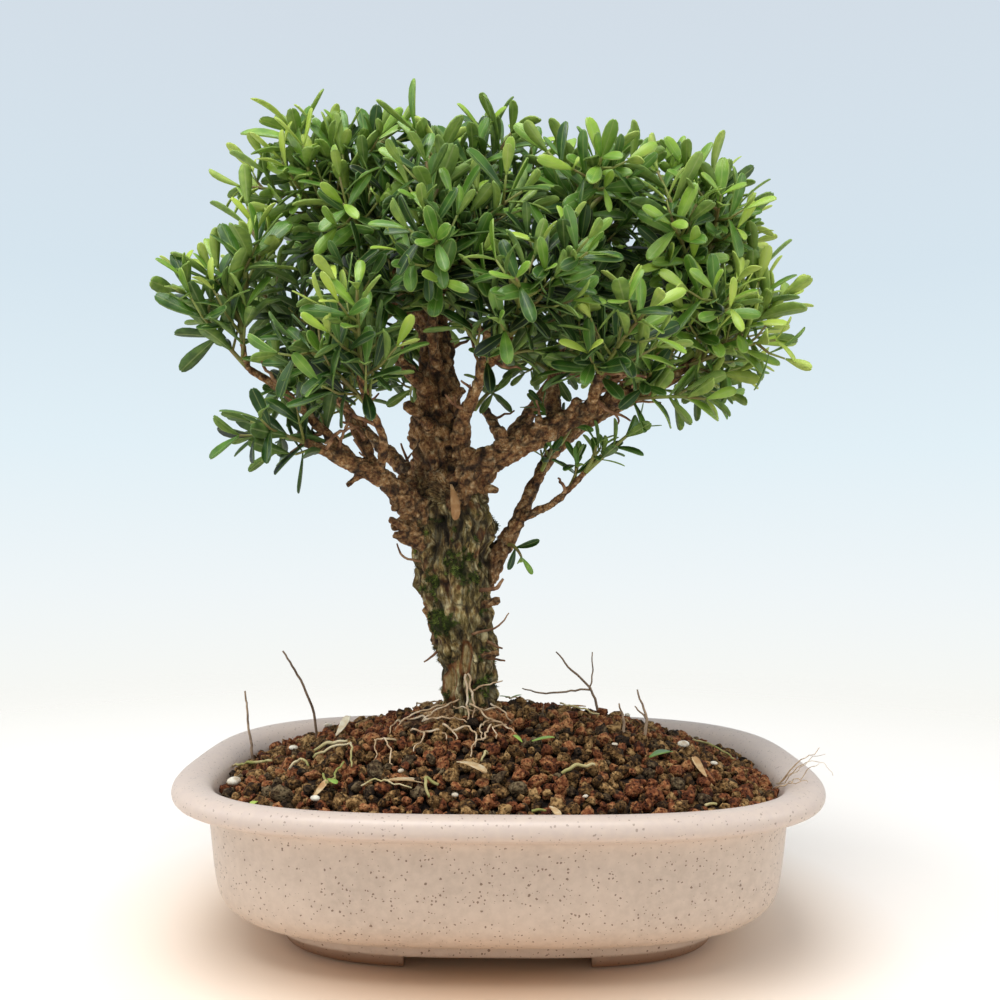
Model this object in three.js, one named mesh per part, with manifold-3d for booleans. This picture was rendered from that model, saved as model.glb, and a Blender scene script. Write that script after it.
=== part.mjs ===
// A small boxwood bonsai in an oblong stoneware pot: pot, drainage mesh, soil, the wood of the
// tree, its leafy sprays, and the dry stems and fallen leaves that lie in the soil.
// Millimetres, +Z up, -Y is the front. The tables below are about the middle of the pot, at the
// height of its feet; the finished model is moved so that its own box stands on the origin.
import * as THREE from "three";
import { mergeVertices } from "three/addons/utils/BufferGeometryUtils.js";
import Module from "manifold-3d";

const wasm = await Module();
wasm.setup();

// The gap left between pieces that touch
const FIT_GAP = 0.3;

// Pot, with the rim's outer length and depth
const POT_LENGTH = 200;
const POT_DEPTH = 154;
const POT_HEIGHT = 51.5;
const PLAN_POWER = 3.1;
const PLAN_STEPS = 32;
const POT_WALL = 6;
const FLOOR_TOP = 10;
const FOOT_HEIGHT = 4;
const FOOT_GAP_X = 54;
const FOOT_GAP_Y = 44;
const DRAIN_HOLE = 16;
const DRAIN_SPACING = 80;

// Drainage mesh, one square of plastic over each hole
const MESH_SIZE = 26;
const MESH_THICK = 1;
const MESH_OPENING = 8;
const MESH_PITCH = 11;

// Soil: the mound rises from the pot's wall to the trunk
const SOIL_EDGE_Z = 46;
const SOIL_RISE = 21.5;
const SOIL_SLOPE = 1.6;
const GRANULE_RELIEF = 1.5;
const SOIL_RINGS = 12;

// Leaves at true size: the blade's half width is given at its neck, shoulder and tip. The
// openings are the angles between leaf and stem at the neck and at the tip, in radians, in the
// order in which they are tried.
const LEAF_LENGTH = 13;
const LEAF_THICK = 0.9;
const LEAF_STATIONS = [0, 0.66, 1];
const LEAF_HALF_WIDTHS = [0.35, 2.5, 1.25];
const LEAF_OPENINGS = [[0.8, 1.25], [0.6, 0.95], [1.05, 1.5], [0.45, 0.7]];
const TIP_OPENINGS = [[0.35, 0.7], [0.5, 0.9], [0.25, 0.5]];
const TIP_LEAF = 0.88;
const SPRAY_REACH = 34;
const SPRAY_STEM = 1.5;
const LEAST_WOODY = 5;
const PAIR_SPACING = 9;
const FIRST_PAIR = 0.2;
const LAST_PAIR = 0.95;

// Trunk and limbs: rows are [x, y, z, radius]. The first is the trunk, which stands in the soil.
const TRUNK = [
  [-10, 0, 46, 9.2],
  [-10, 0, 62, 9.2],
  [-10, 0, 72, 8.8],
  [-11, 0, 84, 9.4],
  [-13, 0, 95, 10.8],
  [-15, 0, 106, 11.8],
  [-16, 0, 118, 12.6],
  [-16, 0, 128, 13.6],
  [-18, 0, 138, 12],
  [-20, 0, 147, 9.8],
  [-21, 0, 157, 8.5],
  [-21, 0, 168, 7.5],
  [-21, 0, 179, 6],
  [-22, 2, 190, 5.2],
  [-23, 4, 202, 4.4],
  [-22, 4, 214, 3.4],
  [-23, 3, 228, 2.2],
];
const BARE_TRUNK_TOP = 200;
const TRUNK_HOLE_DEPTH = 24;
const TRUNK_HOLE_RADIUS = 10.7;

const LIMBS = [
  // Low limb to the left, with the shoots that rise from it
  [[-22, -5, 127, 6], [-29, -10, 134, 4.9], [-36, -16, 141, 3.5], [-48, -24, 147, 2.3], [-60, -28, 152, 1.5]],
  [[-40, -19, 145, 2.2], [-44, -18, 155, 1.8], [-50, -14, 164, 1.5], [-58, -8, 178, 1.3]],
  [[-38, -18, 143, 1.8], [-36, -29, 154, 1.4], [-40, -37, 164, 1.2], [-41, -44, 172, 1.1]],
  [[-46, -23, 147, 1.8], [-57, -24, 158, 1.6], [-66, -25, 167, 1.4], [-78, -27, 175, 1.2]],
  [[-22, 10, 134, 5], [-36, 26, 149, 3], [-52, 40, 164, 2], [-62, 46, 176, 1.5]],
  // Middle and upper limbs to the left
  [[-22, -4, 170, 3], [-32, -14, 179, 2], [-42, -24, 188, 1.4]],
  [[-22, 0, 190, 3.2], [-32, -6, 206, 2], [-42, -10, 219, 1.5], [-52, -12, 228, 1.2]],
  [[-22, 6, 188, 3], [-35, 26, 206, 2], [-48, 38, 216, 1.5]],
  // Leader and its forks
  [[-22, 2, 212, 2.6], [-14, -10, 226, 1.5]],
  [[-22, 6, 208, 2.6], [-16, 24, 230, 1.5]],
  // Thin limb that climbs in front of the trunk
  [[-14, -4, 152, 4], [-11, -18, 163, 2.2], [-6, -28, 173, 1.8], [-4, -36, 185, 1.4]],
  [[-6, -28, 173, 1.6], [3, -36, 184, 1.3]],
  // Main limb to the right, with what rises from it
  [
    [-16, -4, 138, 6.5],
    [-7, -12, 146, 4.9],
    [0, -14, 150, 4.6],
    [10, -16, 155, 4.1],
    [20, -18, 160, 3.8],
    [29, -20, 164, 3.2],
    [37, -20, 167, 2.3],
    [50, -18, 172, 1.4],
    [62, -18, 180, 1.2],
  ],
  [[18, -17, 159, 3], [17, -8, 174, 2], [21, 0, 190, 1.7], [24, 2, 210, 1.3]],
  [[28, -20, 163, 2.6], [30, -34, 173, 1.5]],
  [[35, -20, 166, 2], [45, -14, 178, 1.5], [56, -8, 190, 1.3], [63, -4, 202, 1.1]],
  // Lower limb to the right, which passes behind the main one
  [
    [-8, 2, 106, 5],
    [0, 1, 119, 3.2],
    [6, -1, 129, 2.6],
    [12, 3, 142, 2.3],
    [18, 9, 152, 2.1],
    [30, 20, 163, 1.9],
    [46, 32, 176, 1.6],
    [58, 36, 186, 1.3],
  ],
  [[6, -1, 129, 1.6], [18, -12, 135, 1.2], [27, -18, 144, 1]],
  [[30, 20, 163, 1.6], [48, 18, 172, 1.3], [64, 16, 180, 1.1]],
  // Back limbs
  [[-12, 8, 140, 6], [0, 26, 154, 3.6], [10, 40, 168, 2.6], [20, 46, 184, 2]],
  [[2, 30, 156, 2.4], [-6, 44, 172, 1.6]],
  [[-20, 8, 170, 4], [-20, 26, 190, 2.2], [-22, 36, 204, 1.6]],
  [[20, 46, 184, 1.8], [36, 40, 198, 1.4], [46, 34, 208, 1.2]],
  [[-21, -4, 178, 2.4], [-22, -20, 190, 1.6], [-20, -30, 200, 1.3]],
];

// Pruned stubs and dead snags: short blunt pegs, [x, y, z, radius] at foot and end
const STUBS = [
  [[-24, -8, 120, 2.2], [-34, -14, 124, 1.3]],
  [[-24, -8, 122, 2], [-35, -16, 129, 1.1]],
  [[-12, -10, 134, 2], [-7, -17, 144, 1]],
  [[-8, -6, 100, 1.8], [0, -10, 103, 1.1]],
  [[-10, -6, 84, 1.6], [0, -9, 86, 1]],
  [[-24, -6, 162, 2.4], [-31, -12, 166, 1.8]],
  [[26, -20, 163, 2], [31, -27, 170, 1.5]],
  [[32, -20, 166, 1.8], [39, -28, 168, 1.4]],
  [[22, -18, 161, 2], [24, -26, 166, 1.5]],
  [[34, -20, 167, 1.6], [36, -25, 175, 1.3]],
];

// Tips of the leafy sprays, [x, y, z] and the length of a shorter one: the front, top and back of
// the crown, and two small shoots lower down
const SPRAY_TIPS = [
  [-76, -31, 158],
  [-98, -30, 203],
  [-73, -24, 215],
  [-60, -46, 180],
  [-40, -58, 192],
  [-18, -62, 205],
  [4, -64, 194],
  [-47, -40, 222],
  [-22, -48, 232],
  [6, -46, 224],
  [29, -46, 234],
  [24, -60, 206],
  [42, -54, 188],
  [50, -42, 216],
  [62, -44, 196],
  [67, -32, 228],
  [90, -18, 200],
  [84, -30, 184],
  [63, -28, 166],
  [-84, -14, 236],
  [-69, -18, 258],
  [-52, -8, 250],
  [-34, -16, 254],
  [-15, 2, 256],
  [3, -14, 254],
  [16, 8, 254],
  [30, -10, 248],
  [45, 2, 250],
  [58, -10, 245],
  [73, -4, 243],
  [85, 4, 224],
  [-38, 28, 256],
  [-8, 32, 258],
  [28, 32, 252, 28],
  [58, 26, 240, 28],
  [-90, 14, 214, 28],
  [-72, 38, 228],
  [-42, 58, 236, 28],
  [-8, 62, 238, 28],
  [22, 62, 236, 28],
  [52, 56, 222],
  [78, 36, 212, 28],
  [-60, 60, 196],
  [-28, 72, 208, 28],
  [10, 76, 206, 28],
  [42, 70, 196, 28],
  [-82, 34, 178, 28],
  [88, 26, 188],
  [43, -24, 158, 20],
  [7, -9, 117, 14],
];

// Dry stems that stand in the soil, as points on their middle line, and their thickness
const DRY_STEMS = {
  dry_stem_left: [[-83, 8, 45], [-85, 9, 58], [-87, 10, 70]],
  dry_stem_tall: [[-63, 18, 45], [-64, 14, 62], [-69, 10, 76], [-74, 9, 84]],
  dry_stem_forked: [[38, 17, 52], [35, 18, 62], [32, 20, 70], [25, 20, 77], [20, 20, 83]],
};
const DRY_STEM_THICK = 1;
const FALLEN_OPENING = [1.5, 1.2];

// Fallen leaves: the middle of each, its turn about Z in degrees, and its length
const FALLEN_LEAVES = {
  fallen_leaf_front: [-32, -49, 15, 12],
  fallen_leaf_middle: [-12, -42, -40, 11],
};

const group = new THREE.Group();
const placed = [];

// A repeatable stand-in for chance, from 0 to 1
function chance(seed) {
  const wave = Math.sin(seed * 12.9898) * 43758.5453;
  return wave - Math.floor(wave);
}

// A closed three.js geometry as a solid that can be joined and cut
function solid(geometry) {
  const bare = geometry.clone();
  bare.deleteAttribute("normal");
  bare.deleteAttribute("uv");
  const merged = mergeVertices(bare, 1e-4);
  return new wasm.Manifold(
    new wasm.Mesh({
      numProp: 3,
      vertProperties: merged.attributes.position.array,
      triVerts: new Uint32Array(merged.index.array),
    }),
  );
}

function join(solids) {
  return solids.reduce((whole, next) => whole.add(next));
}

function geometryOf(made) {
  const mesh = made.getMesh();
  const geometry = new THREE.BufferGeometry();
  geometry.setAttribute("position", new THREE.BufferAttribute(mesh.vertProperties, 3));
  geometry.setIndex(new THREE.BufferAttribute(mesh.triVerts, 1));
  geometry.computeVertexNormals();
  return geometry;
}

// Adds a finished solid to the model under its name
function place(name, made, finish) {
  const mesh = new THREE.Mesh(geometryOf(made), new THREE.MeshStandardMaterial(finish));
  mesh.name = name;
  group.add(mesh);
  placed.push(made);
}

const box = (x, y, z) => new THREE.BoxGeometry(x, y, z);

// Moves every corner of a geometry
function reshape(geometry, move) {
  const corners = geometry.attributes.position;
  const corner = new THREE.Vector3();
  for (let i = 0; i < corners.count; i += 1) {
    corner.fromBufferAttribute(corners, i);
    move(corner);
    corners.setXYZ(i, corner.x, corner.y, corner.z);
  }
  return geometry;
}

// The pot's plan: straight sides and full round corners
const HALF_LENGTH = POT_LENGTH / 2;
const HALF_DEPTH = POT_DEPTH / 2;
const NARROWING = HALF_LENGTH - HALF_DEPTH;
const PLAIN_RADIUS = 60;

function roundedPower(value) {
  return Math.sign(value) * Math.abs(value) ** (2 / PLAN_POWER);
}

// A form turned about Z, whose radius stands for the half length, is drawn out to that plan
function oblong(geometry) {
  return reshape(geometry.rotateX(Math.PI / 2), (corner) => {
    const length = Math.hypot(corner.x, corner.y);
    const angle = Math.atan2(corner.y, corner.x);
    const middle = (length * (PLAIN_RADIUS - NARROWING)) / PLAIN_RADIUS;
    const depth = length > PLAIN_RADIUS ? length - NARROWING : middle;
    corner.x = length * roundedPower(Math.cos(angle));
    corner.y = depth * roundedPower(Math.sin(angle));
  });
}

function turnedOblong(profile) {
  const points = profile.map(([length, z]) => new THREE.Vector2(length, z));
  return solid(oblong(new THREE.LatheGeometry(points, PLAN_STEPS)));
}

// Pot: a bowl with a thick rolled rim, a step above four corner feet, and two drain holes
function pot() {
  const rim = POT_HEIGHT;
  const bowl = turnedOblong([
    [0, FOOT_HEIGHT],
    [HALF_LENGTH - 29.5, FOOT_HEIGHT + 0.5],
    [HALF_LENGTH - 27, FOOT_HEIGHT + 4.5],
    [HALF_LENGTH - 22, FOOT_HEIGHT + 5.5],
    [HALF_LENGTH - 16, 13],
    [HALF_LENGTH - 12.5, 20],
    [HALF_LENGTH - 10, rim - 10],
    [HALF_LENGTH - 4, rim - 7.5],
    [HALF_LENGTH - 1, rim - 6],
    [HALF_LENGTH, rim - 4],
    [HALF_LENGTH - 1, rim - 1],
    [HALF_LENGTH - 4, rim],
    [HALF_LENGTH - 9, rim - 1.5],
    [HALF_LENGTH - 12, rim - 4.5],
    [HALF_LENGTH - 13.5, rim - 9],
    [HALF_LENGTH - 12.5 - POT_WALL, 20],
    [HALF_LENGTH - 27, FLOOR_TOP],
    [0, FLOOR_TOP],
  ]);
  const ring = turnedOblong([
    [HALF_LENGTH - 48, 0],
    [HALF_LENGTH - 34, 0],
    [HALF_LENGTH - 30, FOOT_HEIGHT + 0.7],
    [HALF_LENGTH - 48, FOOT_HEIGHT + 0.7],
    [HALF_LENGTH - 48, 0],
  ]);
  const gaps = [
    solid(box(FOOT_GAP_X, POT_DEPTH, 2 * FOOT_HEIGHT)),
    solid(box(POT_LENGTH, FOOT_GAP_Y, 2 * FOOT_HEIGHT)),
  ];
  const feet = ring.subtract(join(gaps));
  const holes = [-1, 1].map((side) => {
    const hole = new THREE.CylinderGeometry(DRAIN_HOLE / 2, DRAIN_HOLE / 2, 4 * FLOOR_TOP, 16);
    hole.rotateX(Math.PI / 2);
    return solid(hole.translate((side * DRAIN_SPACING) / 2, 0, 0));
  });
  return bowl.add(feet).subtract(join(holes));
}

// Drainage mesh: a flat square with four openings, lying on the pot's floor
function drainMesh(side) {
  const middle = [(side * DRAIN_SPACING) / 2, 0, FLOOR_TOP + FIT_GAP + MESH_THICK / 2];
  const openings = [];
  for (const row of [-0.5, 0.5]) {
    for (const column of [-0.5, 0.5]) {
      const opening = box(MESH_OPENING, MESH_OPENING, 2 * MESH_THICK);
      openings.push(solid(opening.translate(row * MESH_PITCH, column * MESH_PITCH, 0)));
    }
  }
  return solid(box(MESH_SIZE, MESH_SIZE, MESH_THICK)).subtract(join(openings)).translate(middle);
}

// Height of the smooth mound over a point of the pot's plan
function mound(x, y) {
  const length = HALF_LENGTH - 14;
  const depth = HALF_DEPTH - 14;
  const power = PLAN_POWER;
  const out = ((Math.abs(x) / length) ** power + (Math.abs(y) / depth) ** power) ** (1 / power);
  return SOIL_EDGE_Z + SOIL_RISE * Math.max(0, 1 - out ** SOIL_SLOPE);
}

// Soil: fills the pot up to a mound, whose top is raised in granules
function soil() {
  const wall = FIT_GAP + 0.25;
  const bottom = FLOOR_TOP + 2 * FIT_GAP + MESH_THICK;
  const sideTop = HALF_LENGTH - 14 - wall;
  const profile = [
    [0, bottom],
    [HALF_LENGTH - 26 - wall, bottom],
    [HALF_LENGTH - 12.5 - POT_WALL - wall, 20.5],
    [sideTop, 41],
  ];
  for (let ring = 0; ring <= SOIL_RINGS; ring += 1) {
    profile.push([(sideTop * (SOIL_RINGS - ring)) / SOIL_RINGS, SOIL_EDGE_Z]);
  }
  const points = profile.map(([length, z]) => new THREE.Vector2(length, z));
  const body = oblong(new THREE.LatheGeometry(points, PLAN_STEPS));
  reshape(body, (corner) => {
    if (corner.z < SOIL_EDGE_Z - 0.01) return;
    const grain = chance(Math.round(corner.x * 9) + 31 * Math.round(corner.y * 9));
    corner.z = mound(corner.x, corner.y) + GRANULE_RELIEF * (2 * grain - 1);
  });
  return solid(body);
}

// The middle line of a limb, and its thickness along it
function limbLine(rows) {
  const curve = new THREE.CatmullRomCurve3(rows.map(([x, y, z]) => new THREE.Vector3(x, y, z)));
  const last = rows.length - 1;
  const radius = (t) => {
    const at = Math.min(t * last, last - 1e-6);
    const row = Math.floor(at);
    return rows[row][3] + (at - row) * (rows[row + 1][3] - rows[row][3]);
  };
  return { curve, radius, steps: last };
}

// A round bar along a line: every ring of a cylinder is carried to its place on the curve.
// The shape function may raise bark from it.
function bar(line, sides, ringsPerRow, bark = () => 1) {
  const rings = line.steps * ringsPerRow;
  const cylinder = new THREE.CylinderGeometry(1, 1, 1, sides, rings);
  const frames = [];
  let side = new THREE.Vector3(1, 0, 0);
  for (let ring = 0; ring <= rings; ring += 1) {
    const ahead = line.curve.getTangent(ring / rings);
    side = side.clone().addScaledVector(ahead, -side.dot(ahead)).normalize();
    frames.push({ middle: line.curve.getPoint(ring / rings), side, up: ahead.cross(side) });
  }
  reshape(cylinder, (corner) => {
    const t = corner.y + 0.5;
    const { middle, side: across, up } = frames[Math.round(t * rings)];
    const angle = Math.atan2(corner.z, corner.x);
    const out = Math.hypot(corner.x, corner.z) * line.radius(t) * bark(angle, t);
    corner.copy(middle);
    corner.addScaledVector(across, -out * Math.cos(angle));
    corner.addScaledVector(up, out * Math.sin(angle));
  });
  return solid(cylinder);
}

// Corky bark on the trunk: long ribs that wander round it, and smaller knobs. The foot that stands
// in the soil is smoother.
function corky(angle, t) {
  const ribs = 0.06 * Math.sin(4 * angle + 9 * t) + 0.04 * Math.sin(7 * angle - 17 * t);
  const swell = Math.min(1, 0.3 + 5 * t);
  return 1 + swell * (ribs + 0.03 * Math.sin(3 * angle + 41 * t));
}

// Where a spray's twig leaves the wood: the nearest limb point that leaves it room, and lies lower
const lines = [TRUNK, ...LIMBS].map(limbLine);
const SEAT_STEPS = 24;
const SEAT_SLACK = 4;
const SEAT_DROP = 8;

function seatFor(tip, reach) {
  let best = null;
  lines.forEach((line, index) => {
    for (let step = 4; step <= SEAT_STEPS; step += 1) {
      const t = step / SEAT_STEPS;
      const point = line.curve.getPoint(t);
      if (index === 0 && point.z < BARE_TRUNK_TOP) continue;
      const away = point.distanceTo(tip);
      const short = Math.max(0, reach - SEAT_SLACK - away);
      const cost = away + 3 * short + Math.max(0, point.z + SEAT_DROP - tip.z);
      if (!best || cost < best.cost) best = { cost, point, t, line };
    }
  });
  return best;
}

// The whole twig, from the limb to the tip, first along the limb and then up. Where it is longer
// than a spray, its foot is wood.
function twigFor(row) {
  const [x, y, z, reach = SPRAY_REACH] = row;
  const tip = new THREE.Vector3(x, y, z);
  const seat = seatFor(tip, reach);
  const away = seat.point.distanceTo(tip);
  const bend = seat.line.curve.getTangent(seat.t).multiplyScalar(away * 0.25);
  const belly = seat.point.clone().lerp(tip, 0.4).add(bend);
  const curve = new THREE.QuadraticBezierCurve3(seat.point, belly, tip);
  const length = curve.getLength();
  const thick = Math.min(1.5, seat.line.radius(seat.t));
  const woody = length - reach > LEAST_WOODY ? length - reach : 0;
  return { curve, length, woody, thick, reach };
}

// Part of a curve between two lengths along it
function stretch(twig, from, to) {
  const points = [];
  const steps = 3;
  for (let i = 0; i <= steps; i += 1) {
    const share = (from + ((to - from) * i) / steps) / twig.length;
    points.push(twig.curve.getPointAt(Math.min(1, share)));
  }
  return new THREE.CatmullRomCurve3(points);
}

const twigs = SPRAY_TIPS.map(twigFor);

// The wood, grown as one: trunk, limbs, pruned stubs, and the woody feet of the longer twigs
function tree() {
  const parts = [bar(lines[0], 12, 1, corky)];
  lines.slice(1).forEach((line) => parts.push(bar(line, line.radius(0) > 3.5 ? 7 : 4, 1)));
  STUBS.forEach((rows) => parts.push(bar(limbLine(rows), 4, 1)));
  twigs.filter((twig) => twig.woody > 0).forEach((twig) => {
    const thin = SPRAY_STEM / 2 + 0.3;
    const line = {
      curve: stretch(twig, 0, twig.woody),
      radius: (t) => twig.thick + t * (thin - twig.thick),
      steps: twig.woody > 14 ? 2 : 1,
    };
    parts.push(bar(line, 4, 1));
  });
  return join(parts);
}

// A pair of opposite leaves is one blade from tip to tip, flat below and ridged along its midrib
// above, bent up at the stem. It goes through the stem at a point, along and against one side.
function leafPair(foot, along, side, length, opening, spread = 0) {
  const segments = LEAF_STATIONS.length - 1;
  const section = new THREE.Shape([
    new THREE.Vector2(-1, 0),
    new THREE.Vector2(1, 0),
    new THREE.Vector2(0, 1),
  ]);
  const options = { depth: 2, steps: 2 * segments, bevelEnabled: false };
  const blade = new THREE.ExtrudeGeometry(section, options);
  const across = new THREE.Vector3().crossVectors(along, side);
  const stations = [];
  let out = 0;
  let rise = 0;
  LEAF_STATIONS.forEach((station, index) => {
    const angle = opening[0] + (opening[1] - opening[0]) * station;
    const step = index ? (station - LEAF_STATIONS[index - 1]) * length : 0;
    out += step * Math.sin(angle);
    rise += step * Math.cos(angle);
    const width = LEAF_HALF_WIDTHS[index] * (length / LEAF_LENGTH);
    stations.push({ out, rise, width, tilt: index ? angle : Math.PI / 2 });
  });
  return reshape(blade, (corner) => {
    const station = stations[Math.round(Math.abs(corner.z - 1) * segments)];
    const half = Math.sign(Math.round((corner.z - 1) * segments));
    const width = corner.x * (station.width + 2 * spread);
    const thick = corner.y * (LEAF_THICK + 2 * spread) - spread;
    corner.copy(foot);
    corner.addScaledVector(side, half * (station.out - thick * Math.cos(station.tilt)));
    corner.addScaledVector(along, station.rise + thick * Math.sin(station.tilt));
    corner.addScaledVector(across, width);
  });
}

// True where a grown copy of the piece would reach into anything already placed
function crowded(grown) {
  const limits = grown.boundingBox();
  return placed.some((other) => {
    const theirs = other.boundingBox();
    const apart = [0, 1, 2].some(
      (axis) => limits.min[axis] > theirs.max[axis] || theirs.min[axis] > limits.max[axis],
    );
    return !apart && grown.intersect(other).volume() > 1e-4;
  });
}

// The stem's frame at a share of its length: its middle, its run, and the two ways its faces look
function stemFrame(curve, turn, t) {
  const along = curve.getTangent(t);
  const level = new THREE.Vector3(0, 0, 1).cross(along).normalize();
  const rising = new THREE.Vector3().crossVectors(along, level);
  const side = level.clone().multiplyScalar(Math.cos(turn)).addScaledVector(rising, Math.sin(turn));
  return { middle: curve.getPoint(t), along, faces: [side, new THREE.Vector3().crossVectors(along, side)] };
}

function squareStem(curve, turn, width) {
  const stem = new THREE.BoxGeometry(width, width, 1, 1, 1, 2);
  reshape(stem, (corner) => {
    const { middle, faces } = stemFrame(curve, turn, corner.z + 0.5);
    const { x, y } = corner;
    corner.copy(middle).addScaledVector(faces[0], x).addScaledVector(faces[1], y);
  });
  return solid(stem);
}

// A leafy spray: a square green stem that starts where it is clear of the wood, with pairs of
// leaves set crosswise on its faces up to its tip. A pair that would touch another piece is
// opened or closed, and left out where it has no room.
function spray(twig, number) {
  const turn = Math.PI * chance(number + 1);
  let start = twig.woody + FIT_GAP;
  let curve = stretch(twig, start, twig.length);
  while (crowded(squareStem(curve, turn, SPRAY_STEM + 0.2))) {
    start += FIT_GAP;
    curve = stretch(twig, start, twig.length);
  }
  curve = stretch(twig, start + FIT_GAP / 2, twig.length);
  const parts = [squareStem(curve, turn, SPRAY_STEM)];
  const pairs = Math.round(twig.reach / PAIR_SPACING);
  for (let pair = 0; pair < pairs; pair += 1) {
    const last = pair === pairs - 1;
    const share = FIRST_PAIR + ((LAST_PAIR - FIRST_PAIR) * pair) / (pairs - 1);
    const { middle, along, faces } = stemFrame(curve, turn, share);
    const size = LEAF_LENGTH * (last ? TIP_LEAF : 1) * (0.94 + 0.12 * chance(number * 7 + pair));
    const side = faces[pair % 2];
    const openings = last ? TIP_OPENINGS : LEAF_OPENINGS;
    const free = openings.find(
      (opening) => !crowded(solid(leafPair(middle, along, side, size, opening, FIT_GAP))),
    );
    if (free) parts.push(solid(leafPair(middle, along, side, size, free)));
  }
  return join(parts);
}

// A dry stem: a thin five-sided rod, with its hole in the soil
function dryStem(points, spread) {
  const rows = points.map(([x, y, z]) => [x, y, z, DRY_STEM_THICK / 2 + spread]);
  return bar(limbLine(rows), 5, 1);
}

// A fallen leaf lies on the granules, cupped upwards: it is let down until it would touch them
function fallenLeaf([x, y, degrees, length]) {
  const up = new THREE.Vector3(0, 0, 1);
  const turn = THREE.MathUtils.degToRad(degrees);
  const side = new THREE.Vector3(Math.cos(turn), Math.sin(turn), 0);
  const foot = new THREE.Vector3(x, y, mound(x, y) + 3 * GRANULE_RELIEF);
  const leaf = (spread) => solid(leafPair(foot, up, side, length / 2, FALLEN_OPENING, spread));
  while (!crowded(leaf(FIT_GAP))) foot.z -= FIT_GAP / 3;
  foot.z += FIT_GAP / 3;
  return leaf(0);
}

const GLAZE = { color: 0xbcada3, roughness: 0.55, metalness: 0 };
const PLASTIC = { color: 0x1f2021, roughness: 0.7, metalness: 0 };
const GRANULES = { color: 0x5b3a29, roughness: 0.95, metalness: 0 };
const BARK = { color: 0x6f5136, roughness: 0.9, metalness: 0 };
const FOLIAGE = { color: 0x3f6b2c, roughness: 0.45, metalness: 0 };
const STRAW = { color: 0xa08a66, roughness: 0.85, metalness: 0 };

place("pot", pot(), GLAZE);
place("drain_mesh_left", drainMesh(-1), PLASTIC);
place("drain_mesh_right", drainMesh(1), PLASTIC);

const holes = [
  solid(
    new THREE.CylinderGeometry(TRUNK_HOLE_RADIUS, TRUNK_HOLE_RADIUS, 2 * TRUNK_HOLE_DEPTH, 16)
      .rotateX(Math.PI / 2)
      .translate(TRUNK[1][0], 0, TRUNK[0][2] - FIT_GAP + TRUNK_HOLE_DEPTH),
  ),
  ...Object.values(DRY_STEMS).map((points) => dryStem(points, FIT_GAP)),
];
place("soil", soil().subtract(join(holes)), GRANULES);
place("tree", tree(), BARK);
Object.entries(DRY_STEMS).forEach(([name, points]) => place(name, dryStem(points, 0), STRAW));
Object.entries(FALLEN_LEAVES).forEach(([name, row]) => place(name, fallenLeaf(row), STRAW));
twigs.forEach((twig, index) => {
  const name = `spray_${String(index + 1).padStart(2, "0")}`;
  place(name, spray(twig, index), FOLIAGE);
});

// The model's own box stands on the origin
const whole = new THREE.Box3().setFromObject(group);
const middle = whole.getCenter(new THREE.Vector3());
group.children.forEach((mesh) => mesh.geometry.translate(-middle.x, -middle.y, -whole.min.z));

export default group;
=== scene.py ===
import math
import random

import bmesh
import bpy
from mathutils import Matrix, Vector, kdtree, noise


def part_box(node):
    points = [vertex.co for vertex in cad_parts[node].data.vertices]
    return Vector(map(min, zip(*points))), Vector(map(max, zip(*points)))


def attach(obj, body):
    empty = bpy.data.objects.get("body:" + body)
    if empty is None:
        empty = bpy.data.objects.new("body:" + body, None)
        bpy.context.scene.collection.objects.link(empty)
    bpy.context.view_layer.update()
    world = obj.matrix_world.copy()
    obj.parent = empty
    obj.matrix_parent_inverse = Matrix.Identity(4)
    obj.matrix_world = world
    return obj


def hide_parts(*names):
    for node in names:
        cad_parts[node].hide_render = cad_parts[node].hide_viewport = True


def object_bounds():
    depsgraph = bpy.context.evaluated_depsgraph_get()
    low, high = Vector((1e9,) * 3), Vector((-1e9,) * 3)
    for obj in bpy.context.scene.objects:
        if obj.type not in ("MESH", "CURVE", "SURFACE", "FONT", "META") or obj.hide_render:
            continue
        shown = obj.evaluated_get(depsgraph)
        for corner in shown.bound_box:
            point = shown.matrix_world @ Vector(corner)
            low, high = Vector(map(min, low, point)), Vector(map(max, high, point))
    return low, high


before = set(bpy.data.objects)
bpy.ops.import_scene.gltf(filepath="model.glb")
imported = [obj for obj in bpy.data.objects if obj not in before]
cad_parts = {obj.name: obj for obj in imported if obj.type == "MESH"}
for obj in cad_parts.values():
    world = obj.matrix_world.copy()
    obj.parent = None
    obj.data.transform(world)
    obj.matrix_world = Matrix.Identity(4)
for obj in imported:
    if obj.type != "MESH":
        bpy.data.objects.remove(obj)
cad_low, cad_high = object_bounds()

# Camera. It stands in front of the pot, a hand's breadth over the table, and looks up a little.
# The tables below are in millimetres about the middle of the pot, at the height of its feet.
MM = 0.001
CAMERA_BACK = 334
CAMERA_HEIGHT = 124
CAMERA_PITCH = math.radians(2)
CAMERA_ROLL = math.radians(0.3)
SENSOR_WIDTH = 36
FOCAL_LENGTH = 36

pot_low, pot_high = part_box("pot")
pot_middle = (pot_low + pot_high) / 2
pot_middle.z = 0


def at(x, y, z):
    """A point of the tables as a place in the frame."""
    return pot_middle + Vector((x, y, z)) * MM


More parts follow.
